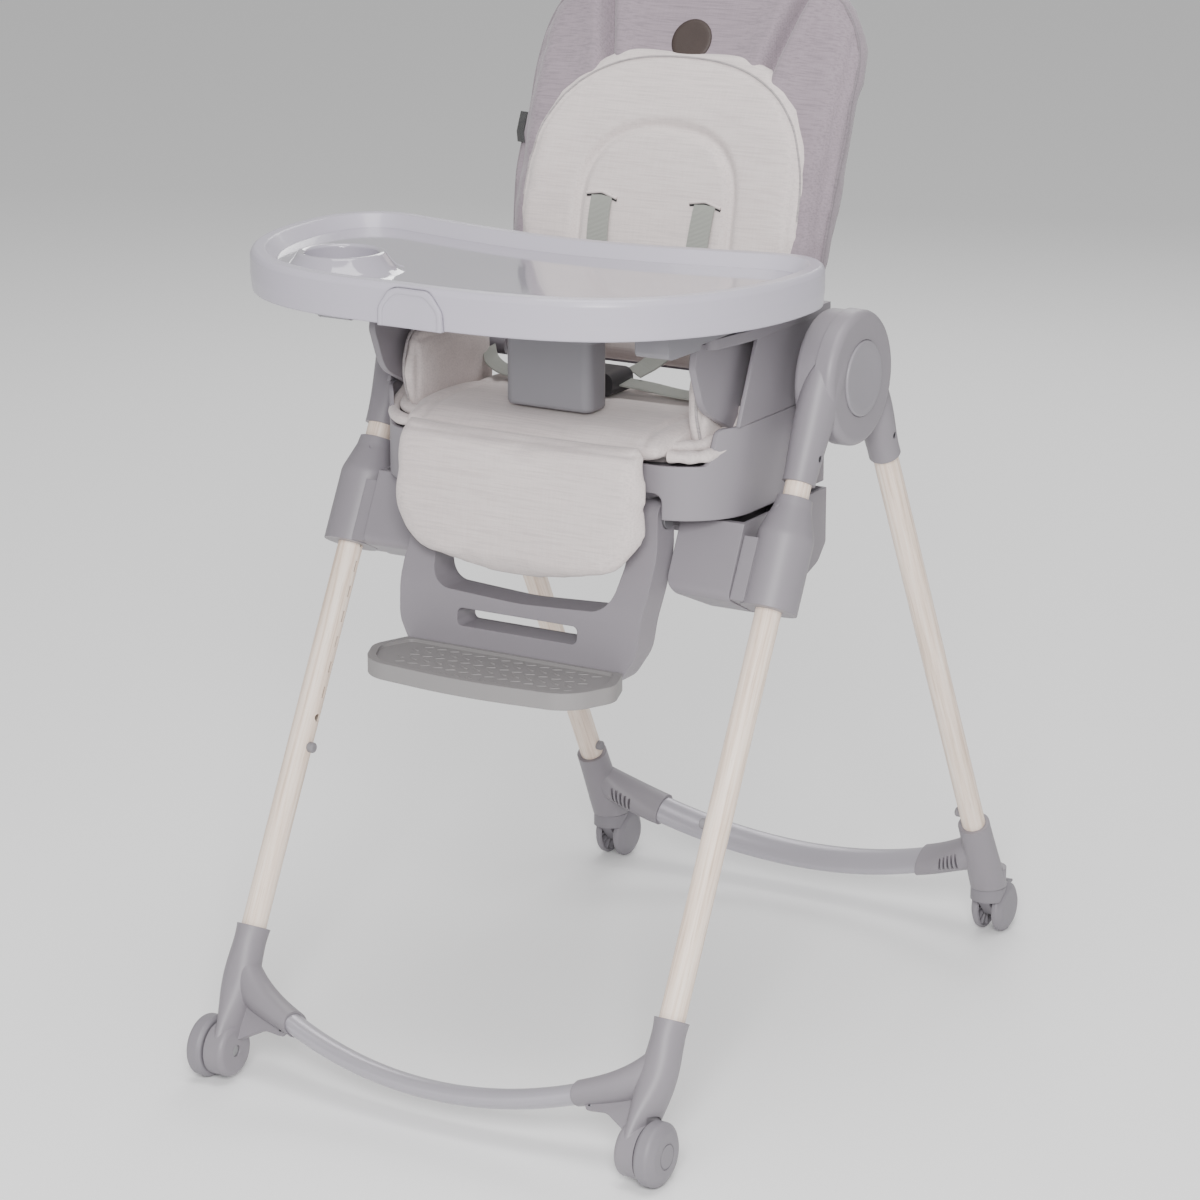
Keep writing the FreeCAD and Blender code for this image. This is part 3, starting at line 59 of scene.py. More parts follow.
VIEW_AZIMUTH = math.radians(30.93)
VIEW_ELEVATION = math.radians(15.22)
VIEW_DISTANCE = 3.83
VIEW_TARGET = Vector((0.0, -0.0771, 0.506))
VIEW_LENS = 112.5


def add_camera():
    back = Vector((math.sin(VIEW_AZIMUTH) * math.cos(VIEW_ELEVATION),
                   -math.cos(VIEW_AZIMUTH) * math.cos(VIEW_ELEVATION),
                   math.sin(VIEW_ELEVATION)))
    data = bpy.data.cameras.new("camera")
    data.lens = VIEW_LENS
    data.sensor_width = 36.0
    data.shift_x = 0.008
    data.shift_y = -0.0329
    data.clip_end = 60.0
    camera = bpy.data.objects.new("camera", data)
    bpy.context.scene.collection.objects.link(camera)
    camera.location = VIEW_TARGET + back * VIEW_DISTANCE
    camera.rotation_euler = (-back).to_track_quat("-Z", "Y").to_euler()
    bpy.context.scene.camera = camera


def add_area_light(name, place, aim, size, power, tint=(1.0, 1.0, 1.0)):
    data = bpy.data.lights.new(name, "AREA")
    data.shape = "RECTANGLE"
    data.size, data.size_y = size
    data.energy = power
    data.color = tint
    light = bpy.data.objects.new(name, data)
    bpy.context.scene.collection.objects.link(light)
    light.location = place
    light.rotation_euler = (Vector(aim) - Vector(place)).to_track_quat("-Z", "Y").to_euler()


def add_studio():
    world = bpy.data.worlds.new("studio")
    world.use_nodes = True
    background = world.node_tree.nodes["Background"]
    background.inputs["Color"].default_value = (1.0, 1.0, 1.0, 1.0)
    background.inputs["Strength"].default_value = 0.55
    bpy.context.scene.world = world
    middle = (0.0, 0.0, 0.6)
    add_area_light("key", (1.9, -3.4, 2.3), middle, (1.3, 1.3), 185.0)
    add_area_light("top", (0.3, -0.6, 3.6), middle, (1.8, 1.8), 60.0)
    add_area_light("back", (-1.2, 3.2, 2.6), middle, (2.0, 1.4), 45.0)
    mesh = bpy.data.meshes.new("floor")
    reach = 20.0
    mesh.from_pydata([(-reach, -reach, 0), (reach, -reach, 0), (reach, reach, 0), (-reach, reach, 0)],
                     [], [(0, 1, 2, 3)])
    floor = bpy.data.objects.new("floor", mesh)
    bpy.context.scene.collection.objects.link(floor)
    floor.location.z = -0.0005
    paint = bpy.data.materials.new("floor_paint")
    paint.use_nodes = True
    shader = paint.node_tree.nodes["Principled BSDF"]
    shader.inputs["Base Color"].default_value = (0.96, 0.96, 0.96, 1.0)
    shader.inputs["Roughness"].default_value = 0.9
    shader.inputs["Specular IOR Level"].default_value = 0.1
    mesh.materials.append(paint)


# ---- Materials ------------------------------------------------------------------------------------


def linear(red, green, blue):
    """Screen colour 0 to 255 as the shader's linear colour."""
    made = []
    for value in (red, green, blue):
        part = value / 255.0
        made.append(part / 12.92 if part <= 0.04045 else ((part + 0.055) / 1.055) ** 2.4)
    return (*made, 1.0)


class Paint:
    """A material under construction, with short ways to add its nodes."""

    def __init__(self, name, roughness, metallic=0.0):
        self.material = bpy.data.materials.new(name)
        self.material.use_nodes = True
        self.tree = self.material.node_tree
        self.shader = self.tree.nodes["Principled BSDF"]
        self.shader.inputs["Roughness"].default_value = roughness
        self.shader.inputs["Metallic"].default_value = metallic
        self.place = self.add("ShaderNodeTexCoord").outputs["Object"]

    def add(self, kind, **values):
        node = self.tree.nodes.new(kind)
        for key, value in values.items():
            if key in node.inputs:
                node.inputs[key].default_value = value
            else:
                setattr(node, key, value)
        return node

    def link(self, source, target):
        self.tree.links.new(source, target)

    def stretched(self, scale, turn=0.0, source=None):
        """Object place, turned about X and then stretched."""
        spin = self.add("ShaderNodeVectorRotate", rotation_type="X_AXIS", Angle=turn)
        self.link(source or self.place, spin.inputs["Vector"])
        sized = self.add("ShaderNodeMapping", vector_type="POINT")
        sized.inputs["Scale"].default_value = scale
        self.link(spin.outputs["Vector"], sized.inputs["Vector"])
        return sized.outputs["Vector"]

    def noise(self, place, detail=3.0, rough=0.55, scale=1.0):
        node = self.add("ShaderNodeTexNoise", Scale=scale, Detail=detail, Roughness=rough)
        self.link(place, node.inputs["Vector"])
        return node.outputs["Fac"]

    def ramp(self, source, stops):
        """Colour ramp from (position, colour) stops."""
        node = self.add("ShaderNodeValToRGB")
        ramp = node.color_ramp
        ramp.elements[0].position, ramp.elements[0].color = stops[0]
        ramp.elements[1].position, ramp.elements[1].color = stops[-1]
        for position, colour in stops[1:-1]:
            ramp.elements.new(position).color = colour
        self.link(source, node.inputs["Fac"])
        return node.outputs["Color"]

    def mixed(self, factor, one, two, blend="MIX"):
        node = self.add("ShaderNodeMix", data_type="RGBA", blend_type=blend)
        for socket, value in ((node.inputs[0], factor), (node.inputs[6], one), (node.inputs[7], two)):
            if isinstance(value, (int, float)):
                socket.default_value = value
            elif isinstance(value, tuple):
                socket.default_value = value
            else:
                self.link(value, socket)
        return node.outputs[2]

    def maths(self, operation, one, two):
        node = self.add("ShaderNodeMath", operation=operation)
        for socket, value in zip(node.inputs, (one, two)):
            if isinstance(value, (int, float)):
                socket.default_value = value
            else:
                self.link(value, socket)
        return node.outputs[0]

    def waves(self, place, pitch, axis="X"):
        """Even ribs at a pitch in metres, from 0 to 1."""
        node = self.add("ShaderNodeTexWave", wave_type="BANDS", bands_direction=axis,
                        wave_profile="SIN", Scale=2 * math.pi / 20.0 / pitch)
        self.link(place, node.inputs["Vector"])
        return node.outputs["Fac"]

    def colour(self, socket):
        self.link(socket, self.shader.inputs["Base Color"])

    def bump(self, height, distance, edge=0.0):
        """Relief on the surface; edge is the radius to which sharp corners look rounded."""
        node = self.add("ShaderNodeBump", Strength=1.0, Distance=distance)
        self.link(height, node.inputs["Height"])
        if edge > 0:
            rounder = self.add("ShaderNodeBevel", samples=6, Radius=edge)
            self.link(rounder.outputs["Normal"], node.inputs["Normal"])
        self.link(node.outputs["Normal"], self.shader.inputs["Normal"])

    def vary_roughness(self, source, low, high):
        node = self.add("ShaderNodeMapRange")
        node.inputs["To Min"].default_value = low
        node.inputs["To Max"].default_value = high
        self.link(source, node.inputs["Value"])
        self.link(node.outputs["Result"], self.shader.inputs["Roughness"])


def moulded_plastic(name, tone, roughness=0.42, grain=0.00006, edge=0.0012, gloss=0.0):
    """Injection-moulded plastic: fine spark texture, faint cloudiness and softened corners."""
    paint = Paint(name, roughness)
    cloud = paint.noise(paint.stretched((9, 9, 9)), detail=2.0)
    fine = paint.noise(paint.stretched((1400, 1400, 1400)), detail=1.0)
    base = linear(*tone)
    darker = tuple(value * 0.93 for value in base[:3]) + (1.0,)
    paint.colour(paint.mixed(cloud, darker, base))
    paint.vary_roughness(cloud, roughness - 0.04, roughness + 0.04)
    paint.bump(fine, grain, edge)
    if gloss > 0:
        paint.shader.inputs["Coat Weight"].default_value = gloss
        paint.shader.inputs["Coat Roughness"].default_value = 0.06
    return paint.material


def grained_film(name, turn):
    """Pale whitewashed wood film on the legs; turn lays the grain along the leg."""
    paint = Paint(name, 0.5)
    streaks = paint.noise(paint.stretched((260, 260, 7), turn), detail=6.0, rough=0.65)
    broad = paint.noise(paint.stretched((60, 60, 2.2), turn), detail=3.0)
    pores = paint.noise(paint.stretched((1500, 1500, 40), turn), detail=2.0)
    wood = paint.ramp(streaks, [(0.3, linear(212, 190, 172)), (0.5, linear(242, 226, 212)),
                                (0.72, linear(254, 245, 236))])
    tint = paint.ramp(broad, [(0.3, linear(236, 222, 210)), (0.7, linear(255, 252, 248))])
    body = paint.mixed(0.45, wood, tint, "MULTIPLY")
    dark = paint.ramp(pores, [(0.28, linear(150, 132, 120)), (0.36, linear(255, 255, 255))])
    paint.colour(paint.mixed(0.35, body, dark, "MULTIPLY"))
    paint.bump(streaks, 0.00012)
    return paint.material


def woven_cloth(name, light, dark, pitch=0.0011, sheen=0.25):
    """Melange cloth with long slubs across the piece and a fine weave."""
    paint = Paint(name, 0.88)
    paint.shader.inputs["Sheen Weight"].default_value = sheen
    paint.shader.inputs["Sheen Roughness"].default_value = 0.5
    paint.shader.inputs["Specular IOR Level"].default_value = 0.15
    slub = paint.noise(paint.stretched((22, 560, 560)), detail=3.0, rough=0.6)
    warp = paint.noise(paint.stretched((900, 40, 40)), detail=2.0)
    fleck = paint.noise(paint.stretched((1300, 1300, 1300)), detail=1.0)
    cloud = paint.noise(paint.stretched((7, 7, 7)), detail=2.0)
    pale = linear(*light)
    deep = linear(*dark)
    bright = linear(*[min(255, value + 6) for value in light])
    streaked = paint.ramp(slub, [(0.34, deep), (0.52, pale), (0.74, bright)])
    threads = paint.ramp(warp, [(0.35, linear(244, 243, 242)), (0.65, linear(255, 255, 255))])
    body = paint.mixed(0.5, streaked, threads, "MULTIPLY")
    mottled = paint.ramp(fleck, [(0.35, linear(242, 241, 241)), (0.6, linear(255, 255, 255))])
    body = paint.mixed(0.45, body, mottled, "MULTIPLY")
    shade = paint.ramp(cloud, [(0.3, linear(240, 238, 240)), (0.7, linear(255, 255, 255))])
    paint.colour(paint.mixed(0.6, body, shade, "MULTIPLY"))
    split = paint.add("ShaderNodeSeparateXYZ")
    paint.link(paint.place, split.inputs["Vector"])
    along = paint.maths("ADD", split.outputs["Y"], split.outputs["Z"])
    join = paint.add("ShaderNodeCombineXYZ")
    paint.link(along, join.inputs["X"])
    weft = paint.waves(join.outputs["Vector"], pitch)
    warp_rib = paint.waves(paint.place, pitch)
    weave = paint.maths("ADD", paint.maths("MULTIPLY", weft, 0.6), paint.maths("MULTIPLY", warp_rib, 0.4))
    relief = paint.maths("ADD", weave, paint.maths("MULTIPLY", slub, 1.2))
    paint.bump(relief, 0.00013)
    return paint.material


def ribbed_webbing(name, tone, pitch=0.0016):
    """Harness webbing with ribs across its length, the troughs between the ribs painted darker as painted
    shade.
    """
    paint = Paint(name, 0.72)
    paint.shader.inputs["Sheen Weight"].default_value = 0.2
    split = paint.add("ShaderNodeSeparateXYZ")
    paint.link(paint.place, split.inputs["Vector"])
    along = paint.maths("ADD", split.outputs["Y"], split.outputs["Z"])
    join = paint.add("ShaderNodeCombineXYZ")
    paint.link(along, join.inputs["X"])
    ribs = paint.waves(join.outputs["Vector"], pitch)
    threads = paint.waves(paint.place, pitch * 0.6)
    base = linear(*tone)
    # painted shade: the troughs between the ribs are darkened to 72 per cent of the tone
    darker = tuple(value * 0.72 for value in base[:3]) + (1.0,)
    paint.colour(paint.mixed(ribs, darker, base))
    paint.bump(paint.maths("ADD", ribs, paint.maths("MULTIPLY", threads, 0.4)), 0.00035)
    return paint.material


def grained_leather(name, tone):
    paint = Paint(name, 0.55)
    grain = paint.add("ShaderNodeTexVoronoi", feature="DISTANCE_TO_EDGE", Scale=900.0)
    paint.link(paint.place, grain.inputs["Vector"])
    cloud = paint.noise(paint.stretched((60, 60, 60)), detail=3.0)
    base = linear(*tone)
    darker = tuple(value * 0.7 for value in base[:3]) + (1.0,)
    paint.colour(paint.mixed(cloud, darker, base))
    paint.bump(grain.outputs["Distance"], 0.0003)
    return paint.material


def satin_bar(name, tone):
    """Painted oval tube with a soft metallic sheen."""
    paint = Paint(name, 0.34, metallic=0.35)
    flake = paint.noise(paint.stretched((1800, 1800, 1800)), detail=1.0)
    brushed = paint.noise(paint.stretched((6, 420, 420)), detail=2.0)
    base = linear(*tone)
    darker = tuple(value * 0.88 for value in base[:3]) + (1.0,)
    paint.colour(paint.mixed(flake, darker, base))
    paint.vary_roughness(brushed, 0.28, 0.42)
    paint.bump(brushed, 0.00003)
    return paint.material


def turned_steel(name, tone):
    paint = Paint(name, 0.35, metallic=1.0)
    rings = paint.noise(paint.stretched((30, 900, 900)), detail=2.0)
    base = linear(*tone)
    darker = tuple(value * 0.8 for value in base[:3]) + (1.0,)
    paint.colour(paint.mixed(rings, darker, base))
    paint.bump(rings, 0.00004, 0.0006)
    return paint.material


CASTING = (135, 130, 136)
looks = {
    "casting": moulded_plastic("casting_plastic", CASTING, roughness=0.46),
    "button": moulded_plastic("button_plastic", (138, 134, 140), roughness=0.4),
    "seat": moulded_plastic("seat_plastic", (137, 132, 138), roughness=0.44, edge=0.002),
    "under": moulded_plastic("underframe_plastic", (132, 130, 135), roughness=0.42, edge=0.0015),
    "tray": moulded_plastic("tray_plastic", (180, 175, 187), roughness=0.3, grain=0.00001, edge=0.003,
                            gloss=0.25),
    "liner": moulded_plastic("liner_plastic", (166, 161, 172), roughness=0.1, grain=0.000002, edge=0.002,
                             gloss=1.0),
    "foot": moulded_plastic("footrest_plastic", (136, 133, 133), roughness=0.5),
    "caster": moulded_plastic("caster_plastic", (126, 122, 128), roughness=0.45),
    "wheel": moulded_plastic("wheel_plastic", (130, 126, 132), roughness=0.5),
    "dark": moulded_plastic("dark_plastic", (58, 57, 60), roughness=0.4),
    "press": moulded_plastic("button_red", (150, 72, 62), roughness=0.35),
    "handle": moulded_plastic("handle_plastic", (96, 95, 99), roughness=0.42),
    "rubber": moulded_plastic("stop_rubber", (132, 129, 133), roughness=0.7),
    "front_film": grained_film("front_leg_film", LEG_LEAN),
    "rear_film": grained_film("rear_leg_film", -LEG_LEAN),
    "bar": satin_bar("bar_paint", (176, 172, 180)),
    "steel": turned_steel("pin_steel", (170, 170, 172)),
    "screw": turned_steel("screw_steel", (84, 84, 88)),
    "light_cloth": woven_cloth("light_cloth", (219, 209, 206), (208, 198, 196)),
    "melange_cloth": woven_cloth("melange_cloth", (150, 138, 146), (137, 126, 134)),
    "webbing": ribbed_webbing("harness_webbing", (158, 160, 153)),
    "piping": woven_cloth("piping_cloth", (132, 123, 129), (120, 112, 118), pitch=0.0009),
    "badge": grained_leather("badge_leather", (62, 50, 46)),
    "tag": ribbed_webbing("tag_cloth", (34, 33, 34), pitch=0.0007),
    "thread": woven_cloth("seam_thread", (172, 166, 166), (150, 144, 146), pitch=0.0008),
    # painted shade: near-black plastic for the shade inside the harness slits
    "slot": moulded_plastic("slot_painted_shade", (40, 39, 41), roughness=0.8),
}

PAIRS = ("_left", "_right")
node_looks = {
    "casting": ["front_hub", "rear_hub", "front_foot", "rear_foot", "slider", "carriage", "footrest_bracket"],
    "button": ["fold_button"],
    "front_film": ["front_leg"],
    "rear_film": ["rear_leg"],
    "bar": ["front_crossbar", "rear_crossbar"],
    "wheel": ["front_wheel", "caster_wheels"],
    "caster": ["caster_fork", "caster_brake"],
    "steel": ["hub_and_axle_pins", "seat_pins"],
    "screw": ["front_frame_screws", "rear_frame_screws"],
    "rubber": ["front_leg_stops", "rear_leg_stops"],
    "seat": ["seat_shell", "armrest", "backrest_shell", "legrest_board"],
    "dark": ["buckle"],
    "press": ["buckle_button"],
    "handle": ["recline_handle"],
    "tray": ["tray_body", "tray_tab"],
    "liner": ["tray_insert"],
    "under": ["tray_underframe", "crotch_post"],
    "foot": ["footrest_plate"],
    "light_cloth": ["seat_cushion", "seat_bolsters", "backrest_inlay", "legrest_pad"],
    "melange_cloth": ["backrest_pad"],
    "badge": ["backrest_badge"],
    "webbing": ["lap_straps", "crotch_strap", "shoulder_straps"],
}


def set_material(piece, look):
    piece.data.materials.clear()
    piece.data.materials.append(looks[look])


def paint_frame():
    for look, names in node_looks.items():
        for name in names:
            for node in (name, name + PAIRS[0], name + PAIRS[1]):
                if node in nodes:
                    set_material(nodes[node], look)


# ---- Mesh helpers ---------------------------------------------------------------------------------


def add_piece(name, mesh, look, smooth=True):
    piece = bpy.data.objects.new(name, mesh)
    bpy.context.scene.collection.objects.link(piece)
    set_material(piece, look)
    if smooth:
        mesh.shade_smooth()
    return piece


def apply_modifiers(piece):
    """Bake the piece's modifiers into its mesh."""
    graph = bpy.context.evaluated_depsgraph_get()
    made = bpy.data.meshes.new_from_object(piece.evaluated_get(graph))
    piece.modifiers.clear()
    piece.data = made


def copy_of_node(name, node, look):
    """The solid of a CAD node as a new closed mesh."""
    piece = add_piece(name, nodes[node].data.copy(), look)
    work = bmesh.new()
    work.from_mesh(piece.data)
    bmesh.ops.remove_doubles(work, verts=work.verts, dist=0.00002)
    work.to_mesh(piece.data)
    work.free()
    return piece


def places(mesh):
    co = np.empty(len(mesh.vertices) * 3)
    mesh.vertices.foreach_get("co", co)
    return co.reshape(-1, 3)


def normals(mesh):
    made = np.empty(len(mesh.vertices) * 3)
    mesh.vertex_normals.foreach_get("vector", made)
    return made.reshape(-1, 3)


def set_places(mesh, co):
    mesh.vertices.foreach_set("co", np.asarray(co, float).ravel())
    mesh.update()


def plump(piece, shrink, cap, voxel=0.005, pressure=4.0):
    """Turn a closed solid into a stuffed pad: shrink it, blow it up as cloth, and smooth it."""
    remesh = piece.modifiers.new("remesh", "REMESH")
    remesh.mode = "VOXEL"
    remesh.voxel_size = voxel
    apply_modifiers(piece)
    mesh = piece.data
    set_places(mesh, places(mesh) - normals(mesh) * shrink)
    start = places(mesh)
    cloth = piece.modifiers.new("cloth", "CLOTH")
    settings = cloth.settings
    settings.quality = 4
    settings.mass = 0.25
    settings.tension_stiffness = 12.0
    settings.compression_stiffness = 12.0
    settings.shear_stiffness = 6.0
    settings.bending_stiffness = 0.6
    settings.use_pressure = True
    settings.uniform_pressure_force = pressure
    settings.effector_weights.gravity = 0.0
    cloth.collision_settings.use_collision = False
    cloth.collision_settings.use_self_collision = False
    cloth.point_cache.frame_start = 1
    cloth.point_cache.frame_end = 20
    for step in range(1, 21):
        bpy.context.scene.frame_set(step)
    apply_modifiers(piece)
    bpy.context.scene.frame_set(1)
    mesh = piece.data
    move = places(mesh) - start
    size = np.linalg.norm(move, axis=1, keepdims=True)
    move *= np.minimum(1.0, cap / np.maximum(size, 1e-9))
    set_places(mesh, start + move)
    smooth = piece.modifiers.new("smooth", "SMOOTH")
    smooth.iterations = 14
    rounder = piece.modifiers.new("rounder", "SUBSURF")
    rounder.levels = rounder.render_levels = 1
    apply_modifiers(piece)
    piece.data.shade_smooth()
    return piece


def fit_between(piece, low, high):
    """Stretch the mesh so that it fills the box from low to high."""
    co = places(piece.data)
    start, end = co.min(axis=0), co.max(axis=0)
    share = (co - start) / (end - start)
    set_places(piece.data, np.array(low) + share * (np.array(high) - np.array(low)))


def sew(piece, distance_to_seam, depth, width, facing=None):
    """Press a seam into the mesh where distance_to_seam(points) is small."""
    mesh = piece.data
    co = places(mesh)
    away = normals(mesh)
    press = depth * np.exp(-(distance_to_seam(co) / width) ** 2)
    if facing is not None:
        press *= np.clip(away @ np.asarray(facing), 0.0, 1.0)
    set_places(mesh, co - away * press[:, None])


def polyline_distance(points, line):
    """Distance of 2-D points to a polyline."""
    best = np.full(len(points), 1e9)
    for start, end in zip(line[:-1], line[1:]):
        start = np.asarray(start, float)
        run = np.asarray(end, float) - start
        share = np.clip(((points - start) @ run) / (run @ run), 0.0, 1.0)
        best = np.minimum(best, np.linalg.norm(points - start - share[:, None] * run, axis=1))
    return best


def arch(half_width, foot, spring, top, steps=24, square=2.0):
    """Arch in the front view: straight sides up to spring, then half an ellipse, squarer above 2."""
    line = [(half_width, foot)]
    for step in range(steps + 1):
        angle = math.pi * step / steps
        across = abs(math.cos(angle)) ** (2 / square) * (1 if angle < math.pi / 2 else -1)
        line.append((half_width * across, spring + (top - spring) * math.sin(angle) ** (2 / square)))
    line.append((-half_width, foot))
    return line


def surface_of(piece):
    """Search tree of a piece as it is now."""
    graph = bpy.context.evaluated_depsgraph_get()
    return BVHTree.FromObject(piece, graph)


def on_front(tree, x, z, lift=0.0, from_y=-0.6):
    """Point where a line from the front meets a surface, lifted off it."""
    hit, normal, _, _ = tree.ray_cast(Vector((x, from_y, z)), Vector((0, 1, 0)))
    if hit is None:
        return None
    return hit + normal * lift


def tube(name, points, radius, look):
    """Round cord through the points, as a mesh."""
    curve = bpy.data.curves.new(name, "CURVE")
    curve.dimensions = "3D"
    curve.resolution_u = 4
    curve.bevel_depth = radius
    curve.bevel_resolution = 3
    curve.use_fill_caps = True
    spline = curve.splines.new("NURBS")
    spline.points.add(len(points) - 1)
    for point, place in zip(spline.points, points):
        point.co = (*place, 1.0)
    spline.order_u = 4
    spline.use_endpoint_u = True
    holder = bpy.data.objects.new(name + "_curve", curve)
    bpy.context.scene.collection.objects.link(holder)
    graph = bpy.context.evaluated_depsgraph_get()
    mesh = bpy.data.meshes.new_from_object(holder.evaluated_get(graph))
    bpy.data.objects.remove(holder)
    return add_piece(name, mesh, look)


def ribbon(name, centres, across, outward, width, thick, look):
    """Flat strap: centres along its length, with the directions across and out of its face."""
    work = bmesh.new()
    rows = []
    edge = thick * 0.35
    section = [(-width / 2, 0.0), (-width / 2 + edge, thick / 2), (width / 2 - edge, thick / 2),
               (width / 2, 0.0), (width / 2 - edge, -thick / 2), (edge - width / 2, -thick / 2)]
    for centre, side, out in zip(centres, across, outward):
        side = Vector(side).normalized()
        out = Vector(out).normalized()
        rows.append([work.verts.new(Vector(centre) + side * u + out * v) for u, v in section])
    count = len(section)
    for here, there in zip(rows, rows[1:]):
        for i in range(count):
            work.faces.new((here[i], here[(i + 1) % count], there[(i + 1) % count], there[i]))
    work.faces.new(rows[0][::-1])
    work.faces.new(rows[-1])
    bmesh.ops.recalc_face_normals(work, faces=work.faces)
    mesh = bpy.data.meshes.new(name)
    work.to_mesh(mesh)
    work.free()
    return add_piece(name, mesh, look, smooth=False)


def smooth_line(points, steps=6):
    """Catmull-Rom line through the points."""
    padded = [2 * points[0] - points[1]] + list(points) + [2 * points[-1] - points[-2]]
    made = []
    for a, b, c, d in zip(padded, padded[1:], padded[2:], padded[3:]):
        for step in range(steps):
            t = step / steps
            made.append(0.5 * ((2 * b) + (c - a) * t + (2 * a - 5 * b + 4 * c - d) * t * t
                               + (3 * b - a - 3 * c + d) * t ** 3))
    made.append(points[-1])
    return made


# ---- Backrest -------------------------------------------------------------------------------------

PAD_FOOT = 0.69         # where the open part of the backrest begins
PAD_RISE = 0.384
EDGE_POINTS = places(nodes["backrest_pad"].data)
HEAD_ARCH = arch(0.089, 0.69, 0.850, 0.932, square=2.5)


def make_outer_pad():
    """Outer pad with a raised head panel between two sewn wings."""
    pad = copy_of_node("outer_pad", "backrest_pad", "melange_cloth")
    plump(pad, 0.0015, 0.012)
    low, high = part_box("backrest_pad")
    fit_between(pad, (low.x, low.y - 0.003, low.z + 0.004), (high.x, high.y, high.z + 0.002))
    for side in (-1, 1):
        seam = [(side * 0.122, 1.085), (side * 0.108, 1.045), (side * 0.098, 1.010), (side * 0.090, 0.975)]
        sew(pad, lambda co, line=seam: polyline_distance(co[:, [0, 2]], line), -0.007, 0.032, (0, -1, 0.3))
        sew(pad, lambda co, line=seam: polyline_distance(co[:, [0, 2]], line), 0.022, 0.0075, (0, -1, 0.3))

    def near_rim(co):
        """How far a point is from the line that the front panel is sewn to the edge band along."""
        inside = np.minimum(high.x - np.abs(co[:, 0]), (high.z - co[:, 2]) * 1.4)
        return np.abs(inside - 0.010)

    sew(pad, near_rim, 0.0022, 0.0035, (0, -1, 0.3))
    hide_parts("backrest_pad")
    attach(pad, "backrest")
    return pad


def make_rim_piping(pad):
    """Cord sewn round the outer pad, a little behind its front face."""
    low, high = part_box("backrest_pad")
    tree = surface_of(pad)
    line = []
    middle = Vector((0.0, 0.0, (low.z + high.z) / 2))
    for step in range(61):
        angle = math.radians(-62.0 + 304.0 * step / 60)
        way = Vector((math.cos(angle) * 0.75, 0.0, math.sin(angle)))
        way.normalize()
        aim = middle + way * 0.05
        share = min(max((aim.z + way.z * 0.14 - low.z) / (high.z - low.z), 0.0), 1.0)
        aim.y = pad_depth(share, low, high)
        hit, normal, _, _ = tree.ray_cast(aim + way * 0.5, -way)
        if hit is not None and hit.z > 0.715:
            line.append(hit + normal * 0.0006)
    piping = tube("outer_pad_piping", line, 0.0017, "piping")
    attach(piping, "backrest")


def pad_depth(share, low, high):
    """Y of the middle of the outer pad's edge at a share of its height, from the frame."""
    z = low.z + share * (high.z - low.z)
    co = EDGE_POINTS
    near = co[np.abs(co[:, 2] - z) < 0.02]
    if len(near) == 0:
        near = co[np.argsort(np.abs(co[:, 2] - z))[:6]]
    return float((near[:, 1].min() + near[:, 1].max()) / 2)


def make_inlay():
    """Padded inlay with a sewn head arch and a channel either side of the harness."""
    pad = copy_of_node("inlay_pad", "backrest_inlay", "light_cloth")
    plump(pad, 0.0008, 0.007, voxel=0.0042)
    low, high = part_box("backrest_inlay")
    fit_between(pad, (low.x, low.y - 0.002, low.z), (high.x, high.y - 0.003, high.z))
    sew(pad, lambda co: polyline_distance(co[:, [0, 2]], HEAD_ARCH), 0.0065, 0.0055, (0, -1, 0.3))
    inner = arch(0.158, 0.69, 0.850, 0.996, square=2.5)
    sew(pad, lambda co: polyline_distance(co[:, [0, 2]], inner), 0.0016, 0.0026, (0, -1, 0.3))
    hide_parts("backrest_inlay")
    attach(pad, "backrest")
    return pad


def make_inlay_edge(pad):
    """Narrow binding round the arch of the inlay."""
    tree = surface_of(pad)
    line = []
    for x, z in arch(0.1615, 0.70, 0.850, 0.9985, steps=40, square=2.5):
        spot = on_front(tree, x, z, 0.0002)
        if spot is not None:
            line.append(spot)
    binding = tube("inlay_binding", line, 0.0011, "thread")
    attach(binding, "backrest")


def make_badge(pad):
    """Plain round leather patch sewn on the head panel."""
    tree = surface_of(pad)
    centre_z = 1.014
    radius = 0.023
    rings = 8
    spokes = 40
    work = bmesh.new()
    layers = []
    for lift in (0.0016, 0.0002):
        rows = []
        for ring in range(1, rings + 1):
            row = []
            for spoke in range(spokes):
                angle = 2 * math.pi * spoke / spokes
                reach = radius * ring / rings
                x = reach * math.cos(angle)
                z = centre_z + reach * math.sin(angle) * 0.9
                edge = 1.0 if ring < rings else 0.45
                row.append(work.verts.new(on_front(tree, x, z, 0.0002 + (lift - 0.0002) * edge)))
            rows.append(row)
        middle = work.verts.new(on_front(tree, 0.0, centre_z, lift))
        for i in range(spokes):
            work.faces.new((middle, rows[0][i], rows[0][(i + 1) % spokes]))
            for here, there in zip(rows, rows[1:]):
                work.faces.new((here[i], there[i], there[(i + 1) % spokes], here[(i + 1) % spokes]))
        layers.append(rows[-1])
    for i in range(spokes):
        j = (i + 1) % spokes
        work.faces.new((layers[0][i], layers[1][i], layers[1][j], layers[0][j]))
    bmesh.ops.recalc_face_normals(work, faces=work.faces)
    mesh = bpy.data.meshes.new("round_badge")
    work.to_mesh(mesh)
    work.free()
    badge = add_piece("round_badge", mesh, "badge")
    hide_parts("backrest_badge")
    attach(badge, "backrest")


